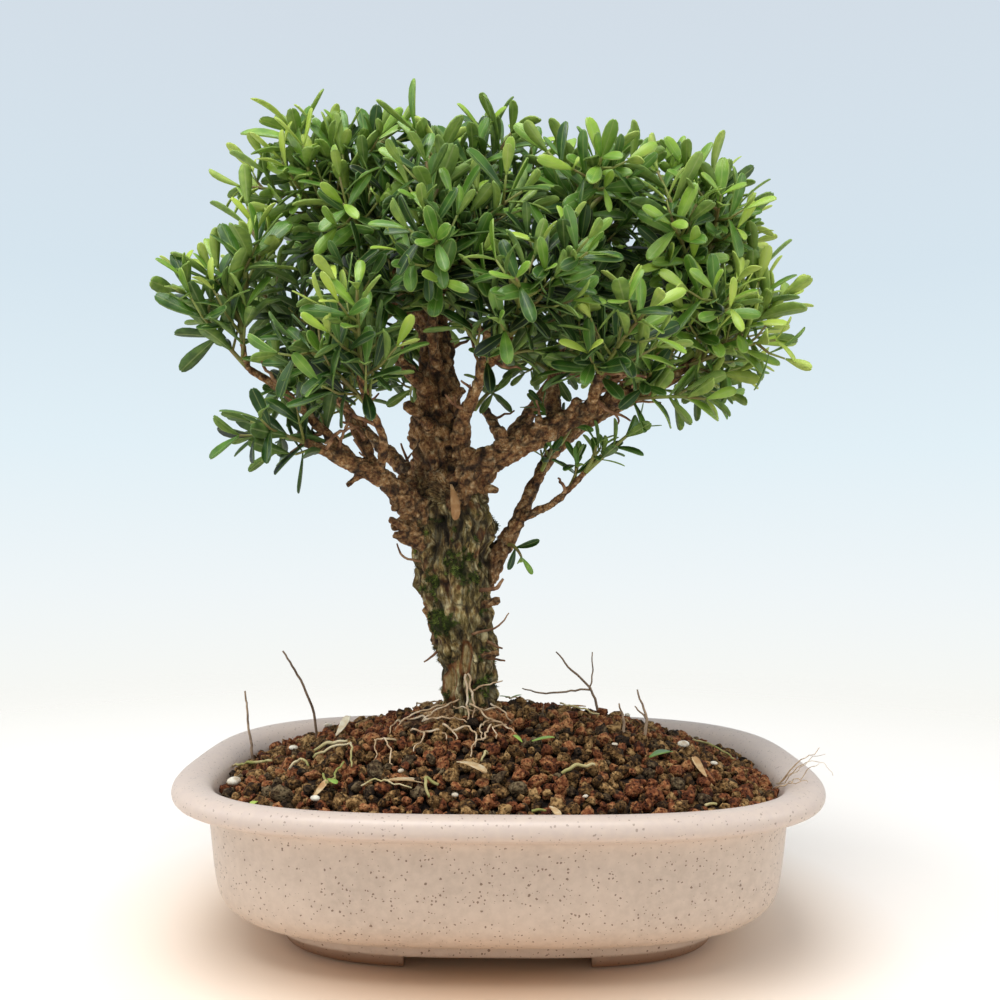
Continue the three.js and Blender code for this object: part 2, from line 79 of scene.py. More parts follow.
lens = bpy.data.cameras.new("camera")
lens.sensor_width = SENSOR_WIDTH
lens.lens = FOCAL_LENGTH
lens.clip_start = 0.01
lens.clip_end = 20
camera = bpy.data.objects.new("camera", lens)
level = Matrix.Rotation(math.pi / 2 + CAMERA_PITCH, 4, "X") @ Matrix.Rotation(CAMERA_ROLL, 4, "Z")
camera.matrix_world = Matrix.Translation(at(0, -CAMERA_BACK, CAMERA_HEIGHT)) @ level
bpy.context.scene.collection.objects.link(camera)
bpy.context.scene.camera = camera
bpy.context.scene.view_settings.view_transform = "Standard"

# Studio. A round sheet of warm white paper lies under the pot and fades into bright, slightly
# blue air, which lights the tree evenly. Large soft lamps above and at the sides give the gloss.
FLOOR_RADIUS = 900
FLOOR_FADE = (150, 620)
# The next is a painted glow of the paper, nil at the pot and rising further out
FLOOR_PAINTED_GLOW = 0.1
AIR_SHOWN = 1.0
AIR_LIGHT = 0.8
AIR_TONES = [
    (0.0, "#fdf9f6"), (0.18, "#f9f9f4"), (0.31, "#f0f6f8"),
    (0.48, "#e2f0f7"), (0.68, "#d6e5ef"), (1, "#d2dce6"),
]
# Tones of the paper from the pot outwards: the warm brown near the pot is painted shadow and painted
# reflection of the pot
FLOOR_TONES_PAINTED_SHADOW = [(0, "#dbb48f"), (0.2, "#efd9c2"), (0.5, "#f8eee4"), (1, "#f9f2ea")]
FLOOR_DROP = 0.2
LAMP_AIM = (0, 0, 150)
# Place, width and power of each lamp
SOFT_LAMPS = {
    "soft_lamp_above": ((-120, -300, 860), 560, 6.5),
    "soft_lamp_left": ((-760, -160, 420), 420, 1.3),
    "soft_lamp_right": ((760, -200, 420), 420, 1.25),
}


def colour(code):
    """An sRGB hex colour as the linear colour that a node takes."""
    parts = [int(code[i : i + 2], 16) / 255 for i in (1, 3, 5)]
    return (*[c / 12.92 if c < 0.04045 else ((c + 0.055) / 1.055) ** 2.4 for c in parts], 1)


def node(tree, kind, sockets=(), stops=(), **settings):
    """Adds a node with its settings, its values or links by socket, and the stops of a ramp."""
    made = tree.nodes.new("ShaderNode" + kind)
    for name, value in settings.items():
        setattr(made, name, value)
    for socket, value in dict(sockets).items():
        if isinstance(value, bpy.types.NodeSocket):
            tree.links.new(value, made.inputs[socket])
        else:
            made.inputs[socket].default_value = value
    for index, (place, code) in enumerate(stops):
        ramp = made.color_ramp.elements
        stop = ramp[index] if index < 2 else ramp.new(place)
        stop.position = place
        stop.color = colour(code)
    return made


def material_of(name, roughness, ior):
    """A new material with the shader's own even values, its node tree and its shader."""
    material = bpy.data.materials.new(name)
    material.use_nodes = True
    shader = material.node_tree.nodes["Principled BSDF"]
    shader.inputs["Roughness"].default_value = roughness
    shader.inputs["IOR"].default_value = ior
    return material, material.node_tree, shader


def piece_of(name, bm, materials):
    """A finished bmesh as an object of the scene, at the origin."""
    mesh = bpy.data.meshes.new(name)
    bm.to_mesh(mesh)
    bm.free()
    for material in materials:
        mesh.materials.append(material)
    piece = bpy.data.objects.new(name, mesh)
    bpy.context.scene.collection.objects.link(piece)
    return piece


air = bpy.data.worlds.new("bright_air")
air.use_nodes = True
direction = node(air.node_tree, "TexCoord").outputs["Generated"]
rise = node(air.node_tree, "SeparateXYZ", {0: direction}).outputs["Z"]
share = node(air.node_tree, "MapRange", {0: rise, 1: -0.3, 2: 0.5}).outputs[0]
glow = node(air.node_tree, "ValToRGB", {0: share}, AIR_TONES).outputs[0]
backdrop = air.node_tree.nodes["Background"]
air.node_tree.links.new(glow, backdrop.inputs["Color"])
seen = node(air.node_tree, "LightPath").outputs["Is Camera Ray"]
force = node(air.node_tree, "MapRange", {0: seen, 3: AIR_LIGHT, 4: AIR_SHOWN}).outputs[0]
air.node_tree.links.new(force, backdrop.inputs["Strength"])
bpy.context.scene.world = air

bm = bmesh.new()
bmesh.ops.create_circle(bm, cap_ends=True, segments=96, radius=FLOOR_RADIUS * MM)
bmesh.ops.translate(bm, vec=at(0, 0, -FLOOR_DROP), verts=bm.verts)
# Uncoated paper, pressed matt: it takes soft shadows and shows no gloss; near the pot it is painted a warm
# brown as shadow, and further out it glows faintly as painted light
paper, tree, shader = material_of("paper_painted_shadow_and_glow", 0.9, 1.45)
place = node(tree, "TexCoord").outputs["Object"]
reach = node(tree, "VectorMath", {0: place}, operation="LENGTH").outputs["Value"]
near = node(tree, "MapRange", {0: reach, 1: 0.05, 2: 0.22}).outputs[0]
# Painted shadow: the paper is tinted a darker warm brown close to the pot, for its shadow and the pot's warm
# reflection
tint = node(tree, "ValToRGB", {0: near}, FLOOR_TONES_PAINTED_SHADOW).outputs[0]
tree.links.new(tint, shader.inputs["Base Color"])
# Painted light: the paper glows faintly, nil at the pot and more further out
shader.inputs["Emission Color"].default_value = colour("#fdf6ee")
glow = node(tree, "Math", {0: near, 1: FLOOR_PAINTED_GLOW}, operation="MULTIPLY").outputs[0]
tree.links.new(glow, shader.inputs["Emission Strength"])
fade = node(tree, "MapRange", {0: reach, 1: FLOOR_FADE[0] * MM, 2: FLOOR_FADE[1] * MM}).outputs[0]
clear = node(tree, "BsdfTransparent").outputs[0]
sheet = node(tree, "MixShader", {0: fade, 1: shader.outputs[0], 2: clear}).outputs[0]
tree.links.new(sheet, tree.nodes["Material Output"].inputs["Surface"])
floor = piece_of("floor", bm, [paper])

for name, (spot, size, power) in SOFT_LAMPS.items():
    lamp = bpy.data.lights.new(name, "AREA")
    lamp.size = size * MM
    lamp.energy = power
    holder = bpy.data.objects.new(name, lamp)
    holder.location = at(*spot)
    holder.rotation_euler = (at(*LAMP_AIM) - holder.location).to_track_quat("-Z", "Y").to_euler()
    bpy.context.scene.collection.objects.link(holder)

# Pot. One piece of cast stoneware: a bowl with a thick rolled rim and a narrower step, under it
# four corner feet, and two drain holes. It is dipped in a satin glaze, through which iron shows
# as brown specks. The plan has straight sides and full round corners.
PLAN_POWER = 3.1
PLAN_STEPS = 96
NARROWING = 23
PLAIN_RADIUS = 60
# Outlines of the bowl and of the ring of feet, as half length and height
BOWL_PROFILE = [
    (0, 4), (40, 4), (69, 4.1), (70.6, 4.5), (71.4, 5.4), (71.8, 8), (72.4, 8.9), (74, 9.3), (77.4, 9.9),
    (82, 11.8), (85.8, 15.4), (87.2, 19), (88.2, 26), (89.2, 36), (89.6, 40.2), (90.4, 42), (92.2, 43.4),
    (95.4, 44.3), (98.2, 45.1), (99.5, 46.3), (100, 48), (99.6, 49.8), (98.2, 51.1), (96, 51.5),
    (92.6, 51), (90, 49.8), (88.4, 47.6), (87.2, 44), (84.6, 32), (81.5, 20), (76, 12), (70, 10),
    (40, 10), (0, 10),
]
FOOT_PROFILE = [(52, 0), (66.2, 0), (67.6, 0.8), (70, 5.2), (52, 5.2)]
FOOT_GAPS = (27, 22)
DRAIN_HOLE = 16
DRAIN_PLACES = (-40, 40)
DRILL_HEIGHT = 6
DRILL_LENGTH = 20


def rounded(value):
    """A sine or cosine bent to the roundness of the pot's plan."""
    return math.copysign(abs(value) ** (2 / PLAN_POWER), value)


def turned_oblong(profile, steps):
    """A closed form turned about Z, then drawn out to the pot's plan."""
    bm = bmesh.new()
    points = [bm.verts.new((length * MM, 0, z * MM)) for length, z in profile]
    edges = [bm.edges.new(pair) for pair in zip(points, points[1:])]
    if profile[0][0] > 0:
        edges.append(bm.edges.new((points[-1], points[0])))
    geometry = points + edges
    bmesh.ops.spin(bm, geom=geometry, axis=(0, 0, 1), angle=math.tau, steps=steps, use_merge=True)
    bmesh.ops.remove_doubles(bm, verts=bm.verts, dist=0.01 * MM)
    for vert in bm.verts:
        length = vert.co.xy.length / MM
        angle = math.atan2(vert.co.y, vert.co.x)
        inner = length * (PLAIN_RADIUS - NARROWING) / PLAIN_RADIUS
        depth = length - NARROWING if length > PLAIN_RADIUS else inner
        vert.co = at(length * rounded(math.cos(angle)), depth * rounded(math.sin(angle)), vert.co.z / MM)
    bmesh.ops.recalc_face_normals(bm, faces=bm.faces)
    for face in bm.faces:
        face.smooth = True
    return bm


# Stoneware glaze, dipped and fired to a satin skin: broad soft lights over a cloudy, speckled beige
glaze, tree, shader = material_of("speckled_stoneware_glaze", 0.42, 1.52)
place = node(tree, "TexCoord").outputs["Object"]
height = node(tree, "SeparateXYZ", {0: place}).outputs["Z"]
# Broad clouds in the glaze, some 18 mm across, and mottling of 2.5 mm; the glaze is greyer and a little
# lighter towards the rim
clouds = node(tree, "TexNoise", {"Vector": place, "Scale": 1 / 0.018, "Detail": 3}).outputs[0]
cloudy = node(tree, "ValToRGB", {0: clouds}, [(0.3, "#bba796"), (0.7, "#c9b4a2")]).outputs[0]
thick = node(tree, "MapRange", {0: height, 1: 0.040, 2: 0.0465}).outputs[0]
coated = node(tree, "Mix", {0: thick, 6: cloudy, 7: colour("#cbb7aa")}, data_type="RGBA").outputs[2]
mottle = node(tree, "TexNoise", {"Vector": place, "Scale": 1 / 0.0025, "Detail": 4, "Roughness": 0.6})
blotchy = node(tree, "MapRange", {0: mottle.outputs[0], 1: 0.35, 2: 0.65, 4: 0.5}).outputs[0]
mottled = node(tree, "Mix", {0: blotchy, 6: coated, 7: colour("#d6c2b0")}, data_type="RGBA").outputs[2]
raw = node(tree, "MapRange", {0: height, 1: 0.0055, 2: 0.001}).outputs[0]
bare = node(tree, "Mix", {0: raw, 6: mottled, 7: colour("#9c7050")}, data_type="RGBA").outputs[2]
# Iron specks with ragged edges: one to a cell of 2.1 mm, and fine ones to a cell of 1 mm; most
# cells have none
ragged = node(tree, "TexNoise", {"Vector": place, "Scale": 1 / 0.0006, "Detail": 1}).outputs["Color"]
push = node(tree, "VectorMath", {0: ragged, "Scale": 0.0006}, operation="SCALE").outputs[0]
warped = node(tree, "VectorMath", {0: place, 1: push}, operation="ADD").outputs[0]
blotches = []
for cell, share, width in ((0.0021, 0.45, 0.21), (0.0010, 0.6, 0.32)):
    cells = node(tree, "TexVoronoi", {"Vector": warped, "Scale": 1 / cell})
    lot = node(tree, "SeparateColor", {0: cells.outputs["Color"]})
    dot = node(tree, "Math", {0: lot.outputs["Red"], 1: width}, operation="MULTIPLY").outputs[0]
    inside = node(tree, "Math", {0: cells.outputs["Distance"], 1: dot}, operation="LESS_THAN").outputs[0]
    chosen = node(tree, "Math", {0: lot.outputs["Green"], 1: share}, operation="LESS_THAN").outputs[0]
    blotches.append(node(tree, "Math", {0: inside, 1: chosen}, operation="MULTIPLY").outputs[0])
specks = node(tree, "Math", {0: blotches[0], 1: blotches[1]}, operation="MAXIMUM").outputs[0]
low = node(tree, "MapRange", {0: height, 1: 0.05, 2: 0.042, 3: 0.45, 4: 0.78}).outputs[0]
shown = node(tree, "Math", {0: specks, 1: low}, operation="MULTIPLY").outputs[0]
speckled = node(tree, "Mix", {0: shown, 6: bare, 7: colour("#63452f")}, data_type="RGBA").outputs[2]
tree.links.new(speckled, shader.inputs["Base Color"])
ripple = node(tree, "TexNoise", {"Vector": place, "Scale": 1 / 0.0035, "Detail": 2}).outputs[0]
bump = node(tree, "Bump", {"Height": ripple, "Strength": 0.08, "Distance": 0.0006}).outputs[0]
tree.links.new(bump, shader.inputs["Normal"])


def baked(piece):
    """Makes the form that a piece's modifiers give its own mesh."""
    bpy.context.view_layer.update()
    mesh = bpy.data.meshes.new_from_object(piece.evaluated_get(bpy.context.evaluated_depsgraph_get()))
    piece.modifiers.clear()
    piece.data = mesh


pot = piece_of("stoneware_pot", turned_oblong(BOWL_PROFILE, PLAN_STEPS), [glaze])
smooth = pot.modifiers.new("soft_edges", "SUBSURF")
smooth.levels = smooth.render_levels = 1
baked(pot)

# Each foot is a corner of a turned ring, cut off at the gaps
feet = bmesh.new()
for side_x in (-1, 1):
    for side_y in (-1, 1):
        bm = turned_oblong(FOOT_PROFILE, PLAN_STEPS)
        for normal, gap in (((side_x, 0, 0), FOOT_GAPS[0]), ((0, side_y, 0), FOOT_GAPS[1])):
            cut = at(side_x * gap, side_y * gap, 0)
            geometry = bm.verts[:] + bm.edges[:] + bm.faces[:]
            bmesh.ops.bisect_plane(bm, geom=geometry, plane_co=cut, plane_no=normal, clear_inner=True)
            bmesh.ops.holes_fill(bm, edges=[edge for edge in bm.edges if edge.is_boundary])
        bmesh.ops.recalc_face_normals(bm, faces=bm.faces)
        foot = bpy.data.meshes.new("foot")
        bm.to_mesh(foot)
        bm.free()
        feet.from_mesh(foot)
feet = piece_of("feet", feet, [glaze])
drills = bmesh.new()
for x in DRAIN_PLACES:
    matrix = Matrix.Translation(at(x, 0, DRILL_HEIGHT))
    size = DRAIN_HOLE / 2 * MM
    depth = DRILL_LENGTH * MM
    bmesh.ops.create_cone(
        drills, cap_ends=True, segments=48, radius1=size, radius2=size, depth=depth, matrix=matrix
    )
drills = piece_of("drills", drills, [glaze])
for tool, operation in ((feet, "UNION"), (drills, "DIFFERENCE")):
    joint = pot.modifiers.new(operation, "BOOLEAN")
    joint.object = tool
    joint.operation = operation
baked(pot)
for tool in (feet, drills):
    bpy.data.objects.remove(tool)
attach(pot, "root")
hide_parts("pot")

# Drain meshes. Squares cut from plastic netting and laid over the drain holes, so that the grit
# stays in the pot. They keep their own solids.
NETTING_TONES = [(0.3, "#17181a"), (0.7, "#26282a")]


def stained(name, roughness, ior, size, detail, stops, strength=0, depth=0):
    """A material whose tone changes in patches of one size in metres, with a bump where asked."""
    material, tree, shader = material_of(name, roughness, ior)
    place = node(tree, "TexCoord").outputs["Object"]
    stains = node(tree, "TexNoise", {"Vector": place, "Scale": 1 / size, "Detail": detail}).outputs[0]
    tone = node(tree, "ValToRGB", {0: stains}, stops).outputs[0]
    tree.links.new(tone, shader.inputs["Base Color"])
    if strength:
        bump = node(tree, "Bump", {"Height": stains, "Strength": strength, "Distance": depth}).outputs[0]
        tree.links.new(bump, shader.inputs["Normal"])
    return material


# Polyethylene, moulded as a black net: a dull sheen with a faint grain of 0.8 mm
netting = stained("black_polyethylene_netting", 0.6, 1.51, 0.0008, 2, NETTING_TONES)
for name in ("drain_mesh_left", "drain_mesh_right"):
    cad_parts[name].data.materials.clear()
    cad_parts[name].data.materials.append(netting)

# Soil. Coarse bonsai grit heaped to the trunk: a dark damp bed, and on it loose granules of lava,
# baked clay and bark, from 3 to 8 mm, some worn round and some still sharp.
SOIL_EDGE = 46
SOIL_RISE = 21.5
SOIL_SLOPE = 1.6
SOIL_HALF = (86, 63)
BED_DROP = 3.4
BED_EDGE = 86
BED_PROFILE = [(0, 11.8), (73, 11.8), (80.4, 21), (84.2, 33), (BED_EDGE, 41)]
BED_RINGS = 24
TRUNK_FOOT = (-10, 0)
TRUNK_ROOM = 8
WALL_REACH = 1.028
WALL_ROOM = 0.42
# Largest and smallest size and number of tries of each lot; two granules may share some room
GRANULE_LOTS = [(7.4, 6.2, 90), (6.2, 5.0, 900), (5.0, 3.8, 2500), (3.8, 2.6, 9000)]
CROWDING = 0.4
SHELF = 8
SINK = 0.12
# A lower layer fills the gaps between them
UNDER_SPACING = 3.1
UNDER_DROP = 2.2
UNDER_SIZES = (3.0, 4.8)
TEMPLATES = 10
FLATS = 7
FLAT_DISTANCE = 0.32
GRANULE_KINDS = ["red", "brown", "dark"]
KIND_LIMITS = (0.44, 0.87)
DRIFT_WIDTH = 17
DRIFT_PULL = 0.25
GRANULE_TONES = {
    "red": ["#381a0e", "#65351c", "#8a5230", "#ad7a4e"],
    "brown": ["#2b1b0c", "#583d1f", "#836138", "#b18c5b"],
    "dark": ["#1c130b", "#332416", "#4f3d28", "#776549"],
}


def outward(x, y):
    """How far a point is from the middle of the soil, as a share of the way to its edge."""
    return sum((abs(v) / half) ** PLAN_POWER for v, half in zip((x, y), SOIL_HALF)) ** (1 / PLAN_POWER)


def mound(x, y):
    """The height of the soil at a place."""
    return SOIL_EDGE + SOIL_RISE * max(0, 1 - outward(x, y) ** SOIL_SLOPE)


bed_top = [(BED_EDGE * (BED_RINGS - ring) / BED_RINGS, SOIL_EDGE) for ring in range(BED_RINGS + 1)]
bm = turned_oblong(BED_PROFILE + bed_top, PLAN_STEPS)
for vert in bm.verts:
    x, y, z = (vert.co - pot_middle) / MM
    if z > SOIL_EDGE - 0.1:
        rough = noise.noise(Vector((x, y, 0)) / 4)
        vert.co.z = (mound(x, y) - BED_DROP + rough) * MM
# Fine grit, sieved and kept damp: matt and dark, each crumb of 1.2 mm darkened towards its edge as painted
# shade, nearly black between crumbs
damp, tree, shader = material_of("damp_fine_grit", 0.9, 1.4)
place = node(tree, "TexCoord").outputs["Object"]
grit = node(tree, "TexVoronoi", {"Vector": place, "Scale": 1 / 0.0012}).outputs["Distance"]
stops = [(0.1, "#4a301d"), (0.35, "#2f1e11"), (0.6, "#170d06")]
tone = node(tree, "ValToRGB", {0: grit}, stops).outputs[0]
tree.links.new(tone, shader.inputs["Base Color"])
bump = node(tree, "Bump", {"Height": grit, "Strength": 0.8, "Distance": 0.0008}).outputs[0]
tree.links.new(bump, shader.inputs["Normal"])
bed = piece_of("soil_bed", bm, [damp])
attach(bed, "root")
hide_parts("soil")

draw = random.Random(11)


def granule_template(seed):
    """One granule, 1 mm across: a ball knocked flat on a few sides and pitted."""
    pick = random.Random(seed)
    bm = bmesh.new()
    bmesh.ops.create_icosphere(bm, subdivisions=2, radius=0.5)
    flats = [Vector([pick.gauss(0, 1) for axis in range(3)]).normalized() for side in range(FLATS)]
    for vert in bm.verts:
        for flat in flats:
            over = vert.co.dot(flat) - FLAT_DISTANCE
            if over > 0:
                vert.co -= flat * over * 0.9
        shift = Vector((seed, 0, 0))
        vert.co *= 1 + 0.34 * noise.noise(vert.co * 3.4 + shift) + 0.3 * noise.noise(vert.co * 8 + shift)
    mesh = bpy.data.meshes.new("granule")
    bm.to_mesh(mesh)
    bm.free()
    return mesh


def stamp(bm, template, matrix, tint):
    """Adds a copy of a template to a piece, in its place, with its own tint."""
    start = len(bm.verts)
    bm.from_mesh(template, face_normals=False, vertex_normals=False)
    bm.verts.ensure_lookup_table()
    added = bm.verts[start:]
    bmesh.ops.transform(bm, matrix=matrix, verts=added)
    layer = bm.verts.layers.float["tint"]
    for vert in added:
        vert[layer] = tint


def tumbled(x, y, z, size):
    """A granule's place, turned any way and a little longer than wide."""
    turn = Matrix([[draw.gauss(0, 1) for column in range(3)] for row in range(3)])
    spin = turn.to_quaternion().normalized().to_matrix().to_4x4()
    wide, high = draw.uniform(0.66, 1), draw.uniform(0.55, 0.9)
    shape = Matrix.Diagonal((size * MM, size * wide * MM, size * high * MM, 1))
    return Matrix.Translation(at(x, y, z)) @ spin @ shape


granules = {}
for kind in GRANULE_KINDS:
    granules[kind] = bmesh.new()
    granules[kind].verts.layers.float.new("tint")
templates = [granule_template(seed) for seed in range(TEMPLATES)]
laid = []
shelves = {}
for largest, smallest, tries in GRANULE_LOTS:
    for attempt in range(tries):
        size = draw.uniform(smallest, largest)
        x = draw.uniform(-1, 1) * SOIL_HALF[0]
        y = draw.uniform(-1, 1) * SOIL_HALF[1]
        wall = WALL_REACH - WALL_ROOM * size / SOIL_HALF[1]
        from_trunk = math.hypot(x - TRUNK_FOOT[0], y - TRUNK_FOOT[1])
        if outward(x, y) > wall or from_trunk < TRUNK_ROOM + size / 3:
            continue
        column, row = int(x // SHELF), int(y // SHELF)
        around = [(column + c, row + r) for c in (-1, 0, 1) for r in (-1, 0, 1)]
        near = [granule for shelf in around for granule in shelves.get(shelf, ())]
        if any(math.hypot(x - u, y - v) < CROWDING * (size + other) for u, v, other in near):
            continue
        shelves.setdefault((column, row), []).append((x, y, size))
        laid.append((x, y, mound(x, y) - SINK * size + draw.uniform(-0.7, 0.5), size))
for column in range(int(2 * SOIL_HALF[0] / UNDER_SPACING)):
    for row in range(int(2 * SOIL_HALF[1] / UNDER_SPACING)):
        x = -SOIL_HALF[0] + (column + draw.random()) * UNDER_SPACING
        y = -SOIL_HALF[1] + (row + draw.random()) * UNDER_SPACING
        if outward(x, y) < 0.99:
            z = mound(x, y) - UNDER_DROP + draw.uniform(-0.5, 0.5)
            laid.append((x, y, z, draw.uniform(*UNDER_SIZES)))
for x, y, z, size in laid:
    # Granules of a kind lie in loose drifts
    drift = noise.noise(Vector((x, y, 0)) / DRIFT_WIDTH) * DRIFT_PULL
    lot = draw.random() + drift
    kind = GRANULE_KINDS[sum(lot >= limit for limit in KIND_LIMITS)]
    stamp(granules[kind], draw.choice(templates), tumbled(x, y, z, size), draw.random())

# Lava, baked clay and bark, crushed and sieved: dry and matt, full of pores and dusted with crumbs
for kind, bm in granules.items():
    grit, tree, shader = material_of(f"{kind}_bonsai_grit", 0.85, 1.45)
    place = node(tree, "TexCoord").outputs["Object"]
    tint = node(tree, "Attribute", attribute_name="tint").outputs["Fac"]
    # Dust and crumbs some 1.4 mm across, and pores of 1 mm
    dusty = {"Vector": place, "Scale": 1 / 0.0014, "Detail": 4, "Roughness": 0.6}
    crumbs = node(tree, "TexNoise", dusty).outputs[0]
    worn = node(tree, "MapRange", {0: crumbs, 1: 0.34, 2: 0.66, 3: 0.04, 4: 0.6}).outputs[0]
    lot = node(tree, "Math", {0: tint, 1: 0.42}, operation="MULTIPLY").outputs[0]
    share = node(tree, "Math", {0: worn, 1: lot}, operation="ADD").outputs[0]
    stops = list(zip((0.22, 0.42, 0.6, 0.8), GRANULE_TONES[kind]))
    tone = node(tree, "ValToRGB", {0: share}, stops).outputs[0]
    # Painted shade: each pore of 1 mm is darkened towards its middle, as shade in the pit
    pores = node(tree, "TexVoronoi", {"Vector": place, "Scale": 1 / 0.0010}).outputs["Distance"]
    pits_with_painted_shade = node(tree, "MapRange", {0: pores, 1: 0.1, 2: 0.42, 3: 0.35, 4: 1}).outputs[0]
    shader.inputs["Specular IOR Level"].default_value = 0.25
    shaded = node(tree, "Mix", {0: 1, 6: tone, 7: pits_with_painted_shade}, data_type="RGBA", blend_type="MULTIPLY").outputs[2]
    tree.links.new(shaded, shader.inputs["Base Color"])
    rough = node(tree, "Math", {0: crumbs, 1: pits_with_painted_shade}, operation="ADD").outputs[0]
    bump = node(tree, "Bump", {"Height": rough, "Strength": 1.0, "Distance": 0.0009}).outputs[0]
    tree.links.new(bump, shader.inputs["Normal"])
    for face in bm.faces:
        face.smooth = True
    piece = piece_of(f"{kind}_granules", bm, [grit])
    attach(piece, "root")

# Wood of the tree. Trunk, limbs and twigs grew as one, with stubs where shoots were pruned. Old
# bark is thick grey-olive cork, split by long cracks; on younger wood it is thin, orange-brown and
# flaky. Rows are x, y, z and radius.
TRUNK = [
    (-10, 0, 46, 9.2), (-10, 0, 62, 9.2), (-10, 0, 72, 8.8), (-11, 0, 84, 9.4), (-13, 0, 95, 10.8),
    (-15, 0, 106, 11.8), (-16, 0, 118, 12.6), (-16, 0, 128, 13.6), (-18, 0, 138, 12), (-20, 0, 147, 9.8),
    (-21, 0, 157, 8.5), (-21, 0, 168, 7.5), (-21, 0, 179, 6), (-22, 2, 190, 5.2), (-23, 4, 202, 4.4),
    (-22, 4, 214, 3.4), (-23, 3, 228, 2.2),
]
LIMBS = [
    [
        (-22, -5, 127, 6), (-29, -10, 134, 4.9), (-36, -16, 141, 3.5), (-48, -24, 147, 2.3),
        (-60, -28, 152, 1.5),
    ],
    [(-40, -19, 145, 2.2), (-44, -18, 155, 1.8), (-50, -14, 164, 1.5), (-58, -8, 178, 1.3)],
    [(-38, -18, 143, 1.8), (-36, -29, 154, 1.4), (-40, -37, 164, 1.2), (-41, -44, 172, 1.1)],
    [(-46, -23, 147, 1.8), (-57, -24, 158, 1.6), (-66, -25, 167, 1.4), (-78, -27, 175, 1.2)],
    [(-22, 10, 134, 5), (-36, 26, 149, 3), (-52, 40, 164, 2), (-62, 46, 176, 1.5)],
    [(-22, -4, 170, 3), (-32, -14, 179, 2), (-42, -24, 188, 1.4)],
    [(-22, 0, 190, 3.2), (-32, -6, 206, 2), (-42, -10, 219, 1.5), (-52, -12, 228, 1.2)],
    [(-22, 6, 188, 3), (-35, 26, 206, 2), (-48, 38, 216, 1.5)],
    [(-22, 2, 212, 2.6), (-14, -10, 226, 1.5)],
    [(-22, 6, 208, 2.6), (-16, 24, 230, 1.5)],
    [(-14, -4, 152, 4), (-11, -18, 163, 2.2), (-6, -28, 173, 1.8), (-4, -36, 185, 1.4)],
    [(-6, -28, 173, 1.6), (3, -36, 184, 1.3)],
    [
        (-16, -4, 138, 6.5), (-7, -12, 146, 4.9), (0, -14, 150, 4.6), (10, -16, 155, 4.1),
        (20, -18, 160, 3.8), (29, -20, 164, 3.2), (37, -20, 167, 2.3), (50, -18, 172, 1.4),
        (62, -18, 180, 1.2),
    ],
    [(18, -17, 159, 3), (17, -8, 174, 2), (21, 0, 190, 1.7), (24, 2, 210, 1.3)],
    [(28, -20, 163, 2.6), (30, -34, 173, 1.5)],
    [(35, -20, 166, 2), (45, -14, 178, 1.5), (56, -8, 190, 1.3), (63, -4, 202, 1.1)],
    [
        (-8, 2, 106, 5), (0, 1, 119, 3.2), (6, -1, 129, 2.6), (12, 3, 142, 2.3), (18, 9, 152, 2.1),
        (30, 20, 163, 1.9), (46, 32, 176, 1.6), (58, 36, 186, 1.3),
    ],
    [(6, -1, 129, 1.6), (18, -12, 135, 1.2), (27, -18, 144, 1)],
    [(30, 20, 163, 1.6), (48, 18, 172, 1.3), (64, 16, 180, 1.1)],
    [(-12, 8, 140, 6), (0, 26, 154, 3.6), (10, 40, 168, 2.6), (20, 46, 184, 2)],
    [(2, 30, 156, 2.4), (-6, 44, 172, 1.6)],
    [(-20, 8, 170, 4), (-20, 26, 190, 2.2), (-22, 36, 204, 1.6)],
    [(20, 46, 184, 1.8), (36, 40, 198, 1.4), (46, 34, 208, 1.2)],
    [(-21, -4, 178, 2.4), (-22, -20, 190, 1.6), (-20, -30, 200, 1.3)],
]
STUBS = [
    [(-24, -8, 120, 2.2), (-34, -14, 124, 1.3)],
    [(-24, -8, 122, 2), (-35, -16, 129, 1.1)],
    [(-12, -10, 134, 2), (-7, -17, 144, 1)],
    [(-8, -6, 100, 1.8), (0, -10, 103, 1.1)],
    [(-10, -6, 84, 1.6), (0, -9, 86, 1)],
    [(-24, -6, 162, 2.4), (-31, -12, 166, 1.8)],
    [(26, -20, 163, 2), (31, -27, 170, 1.5)],
    [(32, -20, 166, 1.8), (39, -28, 168, 1.4)],
    [(22, -18, 161, 2), (24, -26, 166, 1.5)],
    [(34, -20, 167, 1.6), (36, -25, 175, 1.3)],
    [(2, -15, 152, 1.9), (0, -21, 158, 1.1)],
    [(12, -17, 157, 1.8), (12, -24, 161, 1)],
    [(-30, -12, 135, 2), (-34, -18, 132, 1.1)],
    [(-42, -20, 144, 1.6), (-48, -22, 139, 0.9)],
    [(-27, -8, 131, 2.4), (-35, -11, 126, 1.3)],
    [(-26, -5, 140, 2.6), (-33, -9, 143, 1.4)],
    [(-14, -8, 150, 2.4), (-9, -14, 151, 1.3)],
    [(-22, -6, 158, 2.4), (-25, -13, 161, 1.3)],
    [(-17, -6, 168, 2.2), (-12, -12, 171, 1.2)],
    [(-8, -10, 140, 2.6), (-1, -17, 138, 1.2)],
    [(-14, -10, 136, 2.8), (-16, -16, 133, 1.4)],
]
ROOT_SPURS = [
    [(-14, -4, 66, 3.4), (-22, -11, 65, 2.4), (-31, -15, 63, 1.4)],
    [(-8, -5, 66, 3), (0, -11, 65, 1.9), (7, -14, 64, 1.1)],
    [(-6, 4, 66, 3.2), (3, 10, 65, 2), (10, 16, 62, 1.2)],
    [(-15, 5, 66, 3), (-23, 12, 64, 1.8), (-29, 20, 61, 1)],
]
